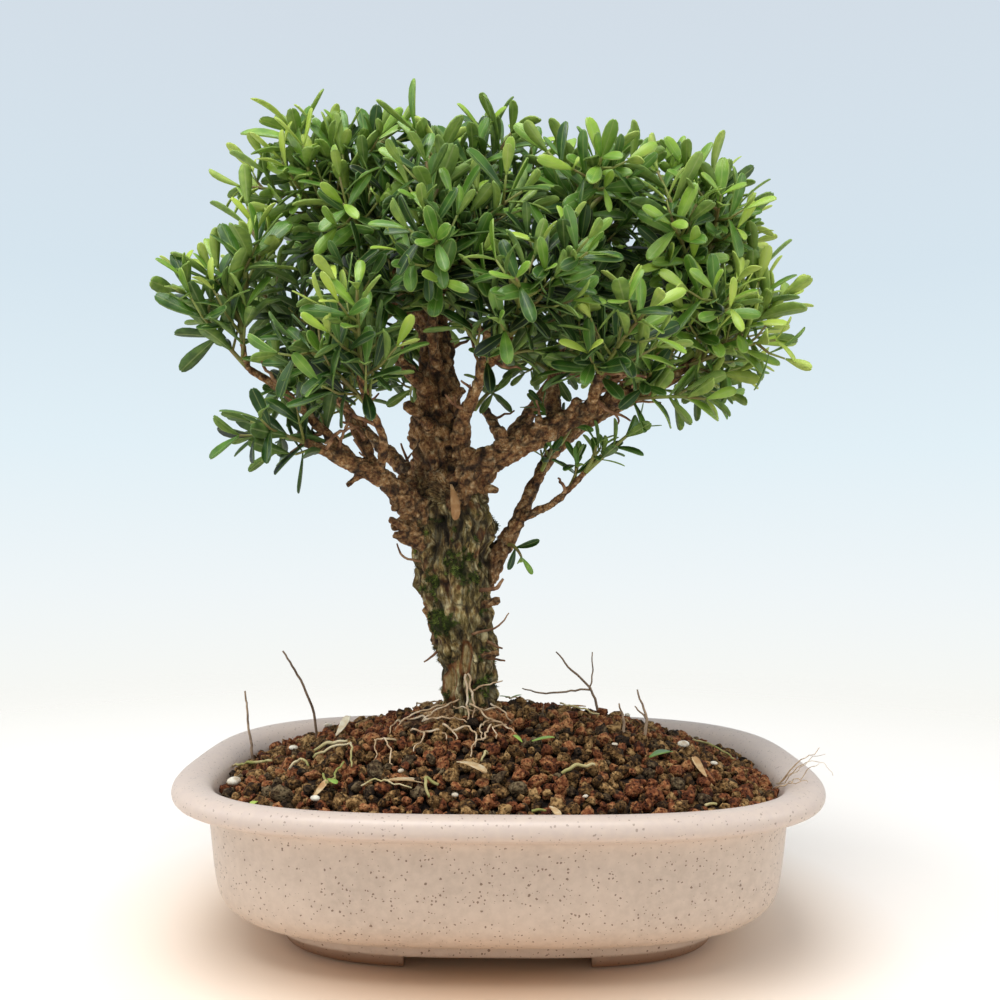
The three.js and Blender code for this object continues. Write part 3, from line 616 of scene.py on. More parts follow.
# Tips of the leafy sprays, with the length of a shorter one
SPRAY_TIPS = [
    (-76, -31, 158), (-98, -30, 203), (-73, -24, 215), (-60, -46, 180), (-40, -58, 192), (-18, -62, 205),
    (4, -64, 194), (-47, -40, 222), (-22, -48, 232), (6, -46, 224), (29, -46, 234), (24, -60, 206),
    (42, -54, 188), (50, -42, 216), (62, -44, 196), (67, -32, 228), (90, -18, 200), (84, -30, 184),
    (63, -28, 166), (-84, -14, 236), (-69, -18, 258), (-52, -8, 250), (-34, -16, 254), (-15, 2, 256),
    (3, -14, 254), (16, 8, 254), (30, -10, 248), (45, 2, 250), (58, -10, 245), (73, -4, 243),
    (85, 4, 224), (-38, 28, 256), (-8, 32, 258), (28, 32, 252, 28), (58, 26, 240, 28), (-90, 14, 214, 28),
    (-72, 38, 228), (-42, 58, 236, 28), (-8, 62, 238, 28), (22, 62, 236, 28), (52, 56, 222),
    (78, 36, 212, 28), (-60, 60, 196), (-28, 72, 208, 28), (10, 76, 206, 28), (42, 70, 196, 28),
    (-82, 34, 178, 28), (88, 26, 188), (43, -24, 158, 20), (7, -9, 117, 14),
]
SPRAY_REACH = 34
LEAST_WOODY = 5
BARE_TRUNK_TOP = 200
SEAT_STEPS = 24
TWIG_SAMPLES = 32
WOODY_STEPS = 12
WOODY_TIP = 1.05
BARK_VOXEL = 0.66
CRACK_WIDTH = 4.6
CRACK_DEPTH = 1.7
FLAKE_DEPTH = 0.8
LUMP_DEPTH = 1.9
PIT_DEPTH = 3.5
FORK_CRACK_SPAN = (120, 131)
FORK_CRACK_DEPTH = 2.6
CORK_TOP = 134
# Notes kept at each point of the bark, which its material reads
SURFACE_NOTES = {
    "grain": "FLOAT_VECTOR", "crack": "FLOAT", "cork": "FLOAT", "mossy": "FLOAT", "bare_wood": "FLOAT",
}


def line_point(rows, t):
    """The point at a share of a smooth line through rows, and the radius there."""
    last = len(rows) - 1
    along = min(max(t, 0) * last, last - 1e-6)
    row = int(along)
    w = along - row
    points = [Vector(r[:3]) for r in rows]
    points = [2 * points[0] - points[1], *points, 2 * points[-1] - points[-2]]
    p0, p1, p2, p3 = points[row : row + 4]
    d0, d1, d2 = [(b - a).length ** 0.5 for a, b in ((p0, p1), (p1, p2), (p2, p3))]
    leave = ((p1 - p0) / d0 - (p2 - p0) / (d0 + d1) + (p2 - p1) / d1) * d1
    arrive = ((p2 - p1) / d1 - (p3 - p1) / (d1 + d2) + (p3 - p2) / d2) * d1
    square = 3 * (p2 - p1) - 2 * leave - arrive
    cube = 2 * (p1 - p2) + leave + arrive
    radius = rows[row][3] + w * (rows[row + 1][3] - rows[row][3])
    return p1 + w * (leave + w * (square + w * cube)), radius


def drawn(rows, steps):
    """A smooth line through rows, as a point and a radius at even steps."""
    return [line_point(rows, step / steps) for step in range(steps + 1)]


def bars(lines, sides):
    """Round bars along lines of (point, radius), closed at their ends, as one mesh."""
    curve = bpy.data.curves.new("bars", "CURVE")
    curve.dimensions = "3D"
    curve.bevel_depth = 1
    curve.bevel_resolution = sides // 2 - 2
    curve.use_fill_caps = True
    for line in lines:
        spline = curve.splines.new("POLY")
        spline.points.add(len(line) - 1)
        for point, (spot, radius) in zip(spline.points, line):
            point.co = (*at(*spot), 1)
            point.radius = radius * MM
    holder = bpy.data.objects.new("bars", curve)
    mesh = bpy.data.meshes.new_from_object(holder)
    bpy.data.objects.remove(holder)
    bm = bmesh.new()
    bm.from_mesh(mesh)
    bmesh.ops.remove_doubles(bm, verts=bm.verts, dist=0.02 * MM)
    bmesh.ops.recalc_face_normals(bm, faces=bm.faces)
    bm.to_mesh(mesh)
    bm.free()
    return mesh


def twig_of(row):
    """The twig that carries a spray: its points with the length to each, from limb to tip."""
    tip = Vector(row[:3])
    reach = row[3] if len(row) > 3 else SPRAY_REACH
    best = None
    for index, rows in enumerate([TRUNK, *LIMBS]):
        for step in range(4, SEAT_STEPS + 1):
            t = step / SEAT_STEPS
            point, radius = line_point(rows, t)
            if index == 0 and point.z < BARE_TRUNK_TOP:
                continue
            away = (point - tip).length
            cost = away + 3 * max(0, reach - 4 - away) + max(0, point.z + 8 - tip.z)
            if best is None or cost < best[0] - 1e-9:
                ahead = line_point(rows, min(1, t + 1e-3))[0] - line_point(rows, t - 1e-3)[0]
                best = (cost, point, ahead.normalized(), radius, away)
    cost, seat, ahead, radius, away = best
    belly = seat.lerp(tip, 0.4) + ahead * away * 0.25
    points = []
    for sample in range(TWIG_SAMPLES + 1):
        t = sample / TWIG_SAMPLES
        points.append(seat * (1 - t) ** 2 + belly * 2 * t * (1 - t) + tip * t * t)
    lengths = [0]
    for a, b in zip(points, points[1:]):
        lengths.append(lengths[-1] + (b - a).length)
    spare = lengths[-1] - reach
    woody = spare if spare > LEAST_WOODY else 0
    return {"points": points, "lengths": lengths, "woody": woody, "thick": min(1.5, radius), "reach": reach}


def on_twig(points, lengths, length):
    """The point at a length along a twig, and the way that it runs there."""
    length = min(max(length, 0), lengths[-1])
    index = max(i for i in range(len(points) - 1) if lengths[i] <= length)
    step = lengths[index + 1] - lengths[index]
    ahead = (points[index + 1] - points[index]).normalized()
    return points[index].lerp(points[index + 1], (length - lengths[index]) / step), ahead


twigs = [twig_of(row) for row in SPRAY_TIPS]
cores = [drawn(TRUNK, 96)] + [drawn(rows, 12 * (len(rows) - 1)) for rows in LIMBS + STUBS + ROOT_SPURS]
for twig in twigs:
    if twig["woody"]:
        core = []
        for step in range(WOODY_STEPS + 1):
            spot = on_twig(twig["points"], twig["lengths"], twig["woody"] * step / WOODY_STEPS)[0]
            core.append((spot, twig["thick"] + (WOODY_TIP - twig["thick"]) * step / WOODY_STEPS))
        cores.append(core)

bark = bpy.data.objects.new("tree_wood", bars(cores, 16))
bpy.context.scene.collection.objects.link(bark)
remesh = bark.modifiers.new("grown_together", "REMESH")
remesh.mode = "VOXEL"
remesh.voxel_size = BARK_VOXEL * MM
baked(bark)

# The middle line of every limb, with its radius, its run and its length from the foot
hearts = kdtree.KDTree(sum(len(core) for core in cores))
runs = []
for core in cores:
    grown = 0
    for index, (spot, radius) in enumerate(core):
        before, after = core[max(0, index - 1)][0], core[min(len(core) - 1, index + 1)][0]
        grown += (spot - before).length
        hearts.insert(spot, len(runs))
        runs.append((radius, (after - before).normalized(), grown))
hearts.balance()


def trunk_at(z):
    """The middle of the trunk at a height, and its radius there."""
    row = max(0, min(len(TRUNK) - 2, sum(z > high[2] for high in TRUNK) - 1))
    low, high = Vector(TRUNK[row]), Vector(TRUNK[row + 1])
    x, y, level, radius = low.lerp(high, min(1, max(0, (z - low.z) / (high.z - low.z))))
    return Vector((x, y, z)), radius


def follow(spot):
    """A surface point in the wood's own grain: across, through and along; its girth; if on the trunk."""
    middle, radius = trunk_at(spot.z)
    gap = (spot - middle).length - radius
    near, index, away = min(hearts.find_n(spot, 6), key=lambda found: found[2] - runs[found[1]][0])
    girth, ahead, grown = runs[index]
    if gap < away - girth + 0.4:
        return Vector((spot.x - middle.x, spot.y - middle.y, spot.z)), radius, True
    flat = Vector((0, 0, 1)).cross(ahead) if abs(ahead.z) < 0.9 else Vector((0, 1, 0)).cross(ahead)
    flat.normalize()
    off = spot - near
    return Vector((off.dot(flat), off.dot(ahead.cross(flat)), grown + off.dot(ahead) + index)), girth, False


def ridged(point, cell, width):
    """How far a point is from a winding crack in the bark, 0 in the crack and 1 on the ridge."""
    return min(1, abs(noise.noise(point / cell)) / width)


for name, kind in SURFACE_NOTES.items():
    bark.data.attributes.new(name, kind, "POINT")
grains, cracks, corks, mossy, bare_wood = [bark.data.attributes[name].data for name in SURFACE_NOTES]
# Moss is thickest about these places; bare wood shows in two old wounds on the front
MOSS_PATCHES = [
    (-21, -9, 96, 9), (-12, -13, 113, 8), (-2, -8, 101, 6), (-4, -7, 76, 6), (-5, -6, 84, 4),
    (-22, -8, 108, 5), (-8, 8, 100, 9), (-20, 9, 88, 8), (-10, 10, 78, 7),
]
BARE_PATCHES = [((-11, 84), (2.0, 6.0)), ((-15.5, 76), (2.6, 6.0))]
# Without a seed the winding noise would start from the clock, and differ each time
noise.seed_set(4)
moves = []
moss_seats = []
for index, vert in enumerate(bark.data.vertices):
    spot = (vert.co - pot_middle) / MM
    grain, girth, on_trunk = follow(spot)
    bulk = min(1, max(0.1, (girth - 0.6) / 8))
    front = spot.y < 0
    bend = noise.noise_vector(spot / 7) * 1.6
    lump = noise.noise(spot / 7)
    cork = (1 - min(1, max(0, (spot.z - CORK_TOP + 8 * lump) / 12))) * on_trunk
    grain.z *= 0.26 + 0.2 * (1 - cork)
    grains[index].vector = grain
    grain += bend
    plate = ridged(grain, CRACK_WIDTH, 0.24)
    flake = ridged(grain + Vector((40, 0, 0)), CRACK_WIDTH * 0.55, 0.3)
    fine = noise.noise(Vector((spot.x, spot.y, spot.z * 0.6)) / 1.3)
    bare = 0
    for (x, z), (wide, tall) in BARE_PATCHES:
        if front:
            off = math.hypot((spot.x - x + 1.2 * lump) / wide, (spot.z - z) / tall)
            bare = max(bare, 1.25 - off ** 2)
    bare = min(1, max(0, bare))
    depth = CRACK_DEPTH * (0.5 + 0.5 * cork)
    knots = noise.noise((spot / 3.4 if on_trunk else grain / 2.3) + Vector((0, 9, 0)))
    relief = depth * (plate - 0.72) + FLAKE_DEPTH * (flake - 0.7) + LUMP_DEPTH * lump
    out = bulk * relief * (1 - 0.8 * bare)
    out += (0.25 + bulk * (0.9 + (1.1 if on_trunk else 0.5) * (1 - cork))) * knots * (1 - 0.7 * bare)
    pit = max(0, -noise.noise(spot / 2.8 + Vector((7, 0, 0))) - 0.22) * (1 - cork) * min(1, girth / 6)
    out -= PIT_DEPTH * pit
    plate = min(plate, 1 - min(1, 4 * pit))
    out += (0.18 + 0.35 * bulk) * fine * (1 - 0.6 * bare) - 0.9 * bare * bulk
    # The long fork crack in the front of the trunk, cut in and painted dark as shade
    slot = abs(spot.x + 18.2 - 0.16 * (129 - spot.z))
    wide = 0.35 + 0.11 * (spot.z - FORK_CRACK_SPAN[0])
    if front and FORK_CRACK_SPAN[0] < spot.z < FORK_CRACK_SPAN[1] and slot < wide and girth > 5:
        out -= FORK_CRACK_DEPTH * (1 - (slot / wide) ** 2)
        plate = 0
    moves.append(vert.co + vert.normal * out * MM)
    moss = 0
    if girth > 5:
        for x, y, z, radius in MOSS_PATCHES:
            moss = max(moss, 1 - (spot - Vector((x, y, z))).length / radius)
        drift = 1.2 * noise.noise(spot / 6 + Vector((3, 3, 3))) - 0.2 if 76 < spot.z < 130 else 0
        moss = min(1, max(0, 1.5 * moss + drift + 1.2 * noise.noise(spot / 2.2) - 0.2)) * cork
    cracks[index].value = 1 - min(plate, 0.35 + 0.65 * flake)
    corks[index].value = cork
    mossy[index].value = moss * (1 - bare)
    bare_wood[index].value = bare
    if moss > 0.3:
        moss_seats.append(index)
for vert, move in zip(bark.data.vertices, moves):
    vert.co = move
for polygon in bark.data.polygons:
    polygon.use_smooth = True

# Cork bark, grown and split by weather: matt and stringy, with painted shade that darkens its cracks and the
# seams of its plates, pale on its ridges
corky, tree, shader = material_of("corky_boxwood_bark", 0.82, 1.45)
place = node(tree, "TexCoord").outputs["Object"]
# Fibres follow the wood in strands about 1 mm wide and 4 mm long, by the grain attribute, which
# is in millimetres; young bark has crumbs of 1.5 mm as well. Patches of 3.5 mm and torn plates of
# 3 mm break them up
fibre = node(tree, "Attribute", attribute_name="grain").outputs["Vector"]
crack = node(tree, "Attribute", attribute_name="crack").outputs["Fac"]
cork = node(tree, "Attribute", attribute_name="cork").outputs["Fac"]
mossed = node(tree, "Attribute", attribute_name="mossy").outputs["Fac"]
bared = node(tree, "Attribute", attribute_name="bare_wood").outputs["Fac"]
stringy = {"Vector": fibre, "Scale": 0.9, "Detail": 5, "Roughness": 0.65}
long_grain = node(tree, "TexNoise", stringy).outputs[0]
crumbly = {"Vector": place, "Scale": 1 / 0.0015, "Detail": 5, "Roughness": 0.7}
crumbs = node(tree, "TexNoise", crumbly).outputs[0]
patches = node(tree, "TexNoise", {**crumbly, "Scale": 1 / 0.0035}).outputs[0]
halfway = node(tree, "Mix", {0: 0.5, 2: crumbs, 3: long_grain}).outputs[0]
strands = node(tree, "Mix", {0: cork, 2: halfway, 3: long_grain}).outputs[0]
shade = node(tree, "Mix", {0: 0.34, 2: strands, 3: patches}).outputs[0]
young = [(0.35, "#261207"), (0.44, "#6f4424"), (0.52, "#aa7e4e"), (0.62, "#e4c698")]
old = [(0.35, "#261a09"), (0.43, "#6c532a"), (0.5, "#aa8e54"), (0.6, "#e8d7a5")]
flaky = node(tree, "ValToRGB", {0: shade}, young).outputs[0]
corked = node(tree, "ValToRGB", {0: shade}, old).outputs[0]
stains = node(tree, "TexNoise", {"Vector": place, "Scale": 1 / 0.006, "Detail": 3}).outputs[0]
green = node(tree, "MapRange", {0: stains, 1: 0.48, 2: 0.62, 4: 0.42}).outputs[0]
algae = node(tree, "Mix", {0: green, 6: corked, 7: colour("#434a1e")}, data_type="RGBA").outputs[2]
rusty = node(tree, "MapRange", {0: stains, 1: 0.45, 2: 0.36, 4: 0.75}).outputs[0]
rust = node(tree, "Mix", {0: rusty, 6: algae, 7: colour("#77431f")}, data_type="RGBA").outputs[2]
grown = node(tree, "Mix", {0: cork, 6: flaky, 7: rust}, data_type="RGBA").outputs[2]
torn = node(tree, "VectorMath", {0: fibre, 1: (1, 1, 1.6)}, operation="MULTIPLY").outputs[0]
drawn_out = node(tree, "VectorMath", {0: patches, 1: (2.4, 2.4, 2.4)}, operation="MULTIPLY").outputs[0]
curling = node(tree, "VectorMath", {0: torn, 1: drawn_out}, operation="ADD").outputs[0]
plates = node(tree, "TexVoronoi", {"Vector": curling, "Scale": 0.33}, feature="DISTANCE_TO_EDGE")
to_edge = plates.outputs["Distance"]
# Painted shade along the seams between the torn plates, deeper on old cork
edges = node(tree, "MapRange", {0: to_edge, 1: 0.0, 2: 0.12, 3: 0.6, 4: 0}).outputs[0]
age = node(tree, "MapRange", {0: cork, 3: 0.35, 4: 1}).outputs[0]
seams = node(tree, "Math", {0: edges, 1: age}, operation="MULTIPLY").outputs[0]
# Painted shade: the cracks are painted nearly black, and the seams between plates dark
crack_shade = node(tree, "MapRange", {0: crack, 1: 0.25, 2: 0.95, 4: 0.92}).outputs[0]
crack_and_seam_shade = node(tree, "Math", {0: crack_shade, 1: seams}, operation="MAXIMUM").outputs[0]
crack_shaded_bark = node(tree, "Mix", {0: crack_and_seam_shade, 6: grown, 7: colour("#1a1009")}, data_type="RGBA").outputs[2]
worn = node(tree, "ValToRGB", {0: shade}, [(0.4, "#8f6a38"), (0.5, "#a98f5c"), (0.62, "#c9b88c")]).outputs[0]
rim = node(tree, "MapRange", {0: bared, 1: 0.45, 2: 0.9}).outputs[0]
pale = node(tree, "Mix", {0: rim, 6: colour("#7d4a20"), 7: worn}, data_type="RGBA").outputs[2]
opened = node(tree, "MapRange", {0: bared, 1: 0.05, 2: 0.4}).outputs[0]
open_wood = node(tree, "Mix", {0: opened, 6: crack_shaded_bark, 7: pale}, data_type="RGBA").outputs[2]
under_moss = node(tree, "Mix", {0: mossed, 6: open_wood, 7: colour("#393919")}, data_type="RGBA").outputs[2]
tree.links.new(under_moss, shader.inputs["Base Color"])
raised = node(tree, "Math", {0: strands, 1: patches}, operation="ADD").outputs[0]
relief = node(tree, "Math", {0: raised, 1: seams}, operation="SUBTRACT").outputs[0]
bump = node(tree, "Bump", {"Height": relief, "Strength": 1.0, "Distance": 0.0014}).outputs[0]
tree.links.new(bump, shader.inputs["Normal"])
bark.data.materials.append(corky)
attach(bark, "root")
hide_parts("tree")

# Moss. Soft tufts, each a bunch of pointed leaves under 2 mm long, that grow where the old bark
# stays damp.
MOSS_TUFTS = 1500
MOSS_BLADES = 6
draw = random.Random(5)
bm = bmesh.new()
for blade in range(MOSS_BLADES):
    lean = Matrix.Rotation(draw.uniform(0.2, 1.0), 4, "X")
    turn = Matrix.Rotation(math.tau * blade / MOSS_BLADES, 4, "Z")
    stand = Matrix.Translation((0, 0, 0.5))
    bmesh.ops.create_cone(
        bm, cap_ends=True, segments=3, radius1=0.14, radius2=0.02, depth=1, matrix=turn @ lean @ stand
    )
tuft = bpy.data.meshes.new("tuft")
bm.to_mesh(tuft)
bm.free()
bm = bmesh.new()
bm.verts.layers.float.new("tint")
bark.data.update()
for index in draw.sample(moss_seats, min(MOSS_TUFTS, len(moss_seats))):
    vert = bark.data.vertices[index]
    up = (vert.normal + Vector((0, 0, 0.4))).normalized()
    matrix = Matrix.Translation(vert.co) @ up.to_track_quat("Z", "Y").to_matrix().to_4x4()
    stamp(bm, tuft, matrix @ Matrix.Scale(draw.uniform(0.6, 1.3) * MM, 4), draw.random())
# Living moss, its leaves one cell thick: matt and soft, dark olive with a few bright tufts
cushion, tree, shader = material_of("bark_moss", 0.8, 1.4)
tint = node(tree, "Attribute", attribute_name="tint").outputs["Fac"]
stops = [(0, "#232b0e"), (0.5, "#434f1e"), (0.85, "#66752c"), (1, "#93a04c")]
tone = node(tree, "ValToRGB", {0: tint}, stops).outputs[0]
tree.links.new(tone, shader.inputs["Base Color"])
moss = piece_of("bark_moss", bm, [cushion])
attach(moss, "root")

# Fine roots. Pale corky threads that leave the foot of the trunk, run over the granules and dive
# between them. Rows are x, y, z and radius; on the soil the lift over the mound stands for z.
HANGING_ROOTS = [
    [(-11, -9, 79, 0.7), (-10, -12, 74, 0.6), (-10, -14, 69, 0.5), (-9, -16, 64, 0.4)],
    [(-9.5, -9, 79, 0.6), (-9, -12, 74, 0.6), (-8, -14, 69, 0.45), (-8, -17, 63, 0.35)],
    [(-8.5, -11, 74, 0.5), (-4, -12.5, 76, 0.45), (1, -12, 77, 0.3)],
    [(-9, -13, 70, 0.55), (-7, -14.5, 69, 0.5), (-4, -17, 67, 0.45), (-1.5, -20, 66, 0.4)],
    [(-15, -12, 69, 0.4), (-8, -14, 68.5, 0.35), (-1, -13, 69, 0.3)],
    [(-13, -9, 71, 0.5), (-19, -14, 69, 0.4), (-24, -19, 66, 0.3)],
    [(-18, -8, 69, 0.5), (-24, -12, 68, 0.45), (-29, -16, 66.5, 0.4), (-33, -17, 62, 0.3)],
    [(-3, -9, 70, 0.5), (1, -13, 68, 0.4), (4, -15, 65, 0.3)],
]
SOIL_ROOTS = [
    [(-3, -20, 1.6, 0.5), (1, -22, 2.2, 0.5), (5, -26, 0.8, 0.3)],
    [(-27, -22, 1.2, 0.5), (-22, -26, 2.2, 0.55), (-18, -25, 2.4, 0.5), (-16, -28, 0.6, 0.3)],
    [(-22, -26, 2.2, 0.45), (-23, -30, 1.8, 0.4), (-26, -33, 0.6, 0.3)],
    [
        (-17, -23, 2.0, 0.6), (-13, -26, 2.4, 0.55), (-9, -25, 2.6, 0.5), (-7.5, -27, 2.0, 0.45),
        (-7, -32, 0.6, 0.3),
    ],
    [(-14, -26, 2.2, 0.4), (-13, -30, 0.5, 0.3)],
    [(-2, -24, 2.4, 0.45), (-4, -29, 2.2, 0.45), (-7, -32, 1.8, 0.4), (-8, -37, 0.6, 0.3)],
    [(-3, -20, 2.0, 0.4), (-5, -24, 2.6, 0.4), (-5, -29, 0.6, 0.3)],
    [(2, -22, 2.0, 0.45), (-1, -24, 2.4, 0.4), (-1, -29, 0.6, 0.3)],
    [(-21, -16, 2.2, 0.5), (-28, -15, 2.6, 0.45), (-33, -15, 2.0, 0.4), (-34, -20, 0.4, 0.3)],
    [(-24, -16, 1.6, 0.5), (-19, -19, 2.6, 0.5), (-13, -19, 2.4, 0.45), (-10, -20, 1.0, 0.3)],
    [(-31, -40, 0.4, 0.35), (-34, -30, 3.0, 0.4), (-37, -28, 2.8, 0.4), (-36, -35, 0.4, 0.3)],
    [(2, 12, 1.8, 0.5), (8, 18, 2.4, 0.4), (16, 20, 0.6, 0.3)],
    [(-20, 13, 1.8, 0.5), (-28, 18, 2.2, 0.4), (-30, 27, 0.6, 0.3)],
    [(-8, 13, 1.8, 0.5), (-10, 22, 2.4, 0.4), (-4, 30, 0.6, 0.3)],
]
ROOT_THINNING = 0.62
ROOT_TONES = [(0.3, "#8c6a4a"), (0.5, "#c3a580"), (0.7, "#dccbb0")]


def wandering(rows, steps, sway, seed, thinning=1):
    """A line through rows that wavers from side to side by about sway."""
    line = []
    for spot, radius in drawn(rows, steps):
        aside = noise.noise_vector(spot / 2.4 + Vector((seed, 0, 0))) * sway
        line.append((spot + aside, radius * thinning))
    return line


def on_soil(rows):
    """Rows with a lift over the mound as rows with a height."""
    return [(x, y, mound(x, y) + lift, radius) for x, y, lift, radius in rows]


lines = [wandering(rows, 18, 0.9, seed, ROOT_THINNING) for seed, rows in enumerate(HANGING_ROOTS)]
for seed, rows in enumerate(SOIL_ROOTS, start=20):
    lines.append(wandering(on_soil(rows), 22, 1.3, seed, ROOT_THINNING))
bm = bmesh.new()
bm.from_mesh(bars(lines, 8))
# Root skin, dried in the air: corky and matt, buff with browner patches of 4 mm
corded = stained("pale_root_skin", 0.7, 1.45, 0.004, 3, ROOT_TONES, 0.5, 0.0003)
roots = piece_of("fine_roots", bm, [corded])
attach(roots, "root")

# Leafy sprays. Each is a thin green stem with side twigs, and small leathery leaves in opposite
# pairs, each pair crosswise to the last. The blade is spoon shaped, 11 to 15 mm long, glossy above
# with a pale midrib and margin, dull and paler below, and lime green while young.
LEAF_LENGTH = 13.6
LEAF_THICK = 0.34
LEAF_SEGMENTS = 7
# Half widths as shares of the length, from the short stalk to the tip
LEAF_OUTLINE = [0.022, 0.052, 0.095, 0.13, 0.15, 0.141, 0.092, 0.026]
LEAF_STATIONS = [0, 0.13, 0.3, 0.47, 0.66, 0.83, 0.95, 1.0]
# Fold at the midrib, curl back and notch of the tip
LEAF_FORMS = [(0.3, 0.1, 0.02), (0.2, 0.18, 0.0), (0.42, 0.06, 0.03), (0.26, 0.26, 0.01), (0.14, -0.06, 0.02)]
LEAF_HALF_WIDTH = 2.6
BOX_MARGIN = 0.6
TO_LIGHT = Vector((0, -0.12, 0.32))
# Leaves open wide at the foot of a stem, and less towards its tip
FOOT_OPENING = 1.05
OPENING_LOSS = 0.25
TIP_OPENING = 0.5
TIP_LEAF = 0.76
PAIR_SPACING = 4.9
SIDE_SPACING = 4.6
SIDE_TWIGS = [0.08, 0.2, 0.32, 0.44, 0.56, 0.68, 0.8]
LEAST_BRANCHED = 25
STEM_STEPS = 12
STEM_RADIUS = 0.85
STEM_TAPER = 0.035
SIDE_RADIUS = 0.5
SIDE_TAPER = 0.1
# How much younger the tip is than the foot, where a spray has fresh growth
YOUNG_SPRAYS = {
    2: 0.38, 3: 0.68, 5: 0.6, 13: 0.58, 17: 0.68, 18: 0.6, 20: 0.43, 21: 0.43, 30: 0.43, 31: 0.63,
}
LEAST_YOUTH = 0.28
SMALL_LEAVED = {50: 0.62, 49: 0.8}
GREEN_TWIG_TONES = [(0.35, "#7c6a3e"), (0.5, "#7f7f3e"), (0.65, "#8d9a4c")]
draw = random.Random(23)


def chance(seed):
    """A share from 0 to 1 that a number always gives."""
    wave = math.sin(seed * 12.9898) * 43758.5453
    return wave - math.floor(wave)


def leaf_template(fold, curl, notch):
    """A leaf one long, along +Y, with its upper side up: folded at the midrib and curled back."""
    bm = bmesh.new()
    chart = bm.loops.layers.uv.new("UVMap")
    bm.verts.layers.float.new("tint")
    bmesh.ops.create_grid(bm, x_segments=2, y_segments=LEAF_SEGMENTS, size=1)
    for face in bm.faces:
        for loop in face.loops:
            loop[chart].uv = ((loop.vert.co.x + 1) / 2, (loop.vert.co.y + 1) / 2)
    for vert in bm.verts:
        row = round((vert.co.y + 1) / 2 * LEAF_SEGMENTS)
        side = vert.co.x
        y = LEAF_STATIONS[row]
        half = LEAF_OUTLINE[row]
        if row == LEAF_SEGMENTS and side == 0:
            y -= notch
        z = fold * abs(side) * half - curl * y * y
        vert.co = (side * half, y, z)
    upper = bm.faces[:]
    bmesh.ops.recalc_face_normals(bm, faces=upper)
    if sum(face.normal.z for face in upper) < 0:
        bmesh.ops.reverse_faces(bm, faces=upper)
    bmesh.ops.solidify(bm, geom=upper, thickness=LEAF_THICK / LEAF_LENGTH)
    bmesh.ops.recalc_face_normals(bm, faces=bm.faces)
    for face in bm.faces:
        face.smooth = abs(face.normal.z) > 0.5
        face.material_index = 0 if face.normal.z > 0.5 else 1
    mesh = bpy.data.meshes.new("leaf")
    bm.to_mesh(mesh)
    bm.free()
    return mesh


leaves = [leaf_template(*form) for form in LEAF_FORMS]
box_low = (cad_low - pot_middle) / MM
box_high = (cad_high - pot_middle) / MM


def add_leaf(bm, foot, ahead, side, opening, length, tint):
    """One leaf from a point of a stem, opened from the stem's run towards one side."""
    run = side * math.sin(opening) + ahead * math.cos(opening)
    top = ahead * math.sin(opening) - side * math.cos(opening) + TO_LIGHT
    across = run.cross(top).normalized()
    top = across.cross(run)
    twist = Matrix.Rotation(draw.gauss(0, 0.28), 4, "Y")
    tip = foot + run * length
    margin = BOX_MARGIN
    for spot in (tip, tip + across * LEAF_HALF_WIDTH, tip - across * LEAF_HALF_WIDTH):
        if any(not low + margin < v < high - margin for v, low, high in zip(spot, box_low, box_high)):
            return
    turn = Matrix((across, run, top)).transposed().to_4x4()
    matrix = Matrix.Translation(at(*(foot + run * 0.3))) @ turn @ twist @ Matrix.Scale(length * MM, 4)
    stamp(bm, draw.choice(leaves), matrix, min(1, max(0, tint)))


def leafy(bm, points, lengths, start, spacing, turn, age, youth, growth):
    """Sets pairs of leaves along a stem, smaller and younger towards its tip."""
    whole = lengths[-1] - start
    pairs = max(2, round(whole / spacing))
    for pair in range(pairs):
        share = (pair + 0.6) / (pairs - 0.4)
        spot, ahead = on_twig(points, lengths, start + whole * min(1, share))
        flat = Vector((0, 0, 1)).cross(ahead).normalized()
        rising = ahead.cross(flat)
        angle = turn + (pair % 2) * math.pi / 2 + draw.gauss(0, 0.15)
        side = flat * math.cos(angle) + rising * math.sin(angle)
        last = pair == pairs - 1
        opening = (TIP_OPENING if last else FOOT_OPENING - OPENING_LOSS * share) + draw.gauss(0, 0.14)
        size = growth * LEAF_LENGTH * draw.uniform(0.84, 1.1) * (TIP_LEAF if last else 1)
        tint = age - youth * share ** 2 + draw.gauss(0, 0.11) - (0.07 if last else 0)
        for way in (-1, 1):
            opened = opening + draw.gauss(0, 0.1)
            length = size * draw.uniform(0.92, 1.06)
            add_leaf(bm, spot, ahead, side * way, opened, length, tint)


def side_twig(twig, share, number):
    """A side twig's points and lengths: it leaves the stem, then bends up towards the light."""
    begin = twig["woody"]
    spot, ahead = on_twig(twig["points"], twig["lengths"], begin + share * (twig["lengths"][-1] - begin))
    flat = Vector((0, 0, 1)).cross(ahead).normalized()
    rising = ahead.cross(flat)
    angle = math.pi * chance(number * 3 + round(10 * share)) * 2
    side = flat * math.cos(angle) + rising * math.sin(angle)
    length = twig["reach"] * (0.52 - 0.28 * share)
    way = (ahead * 0.7 + side + Vector((0, 0, 0.1))).normalized()
    middle = spot + way * length * 0.5
    tip = middle + (way + Vector((0, -0.05, 0.35))).normalized() * length * 0.5
    points = [spot, middle, tip]
    lengths = [0, (middle - spot).length, (middle - spot).length + (tip - middle).length]
    return points, lengths


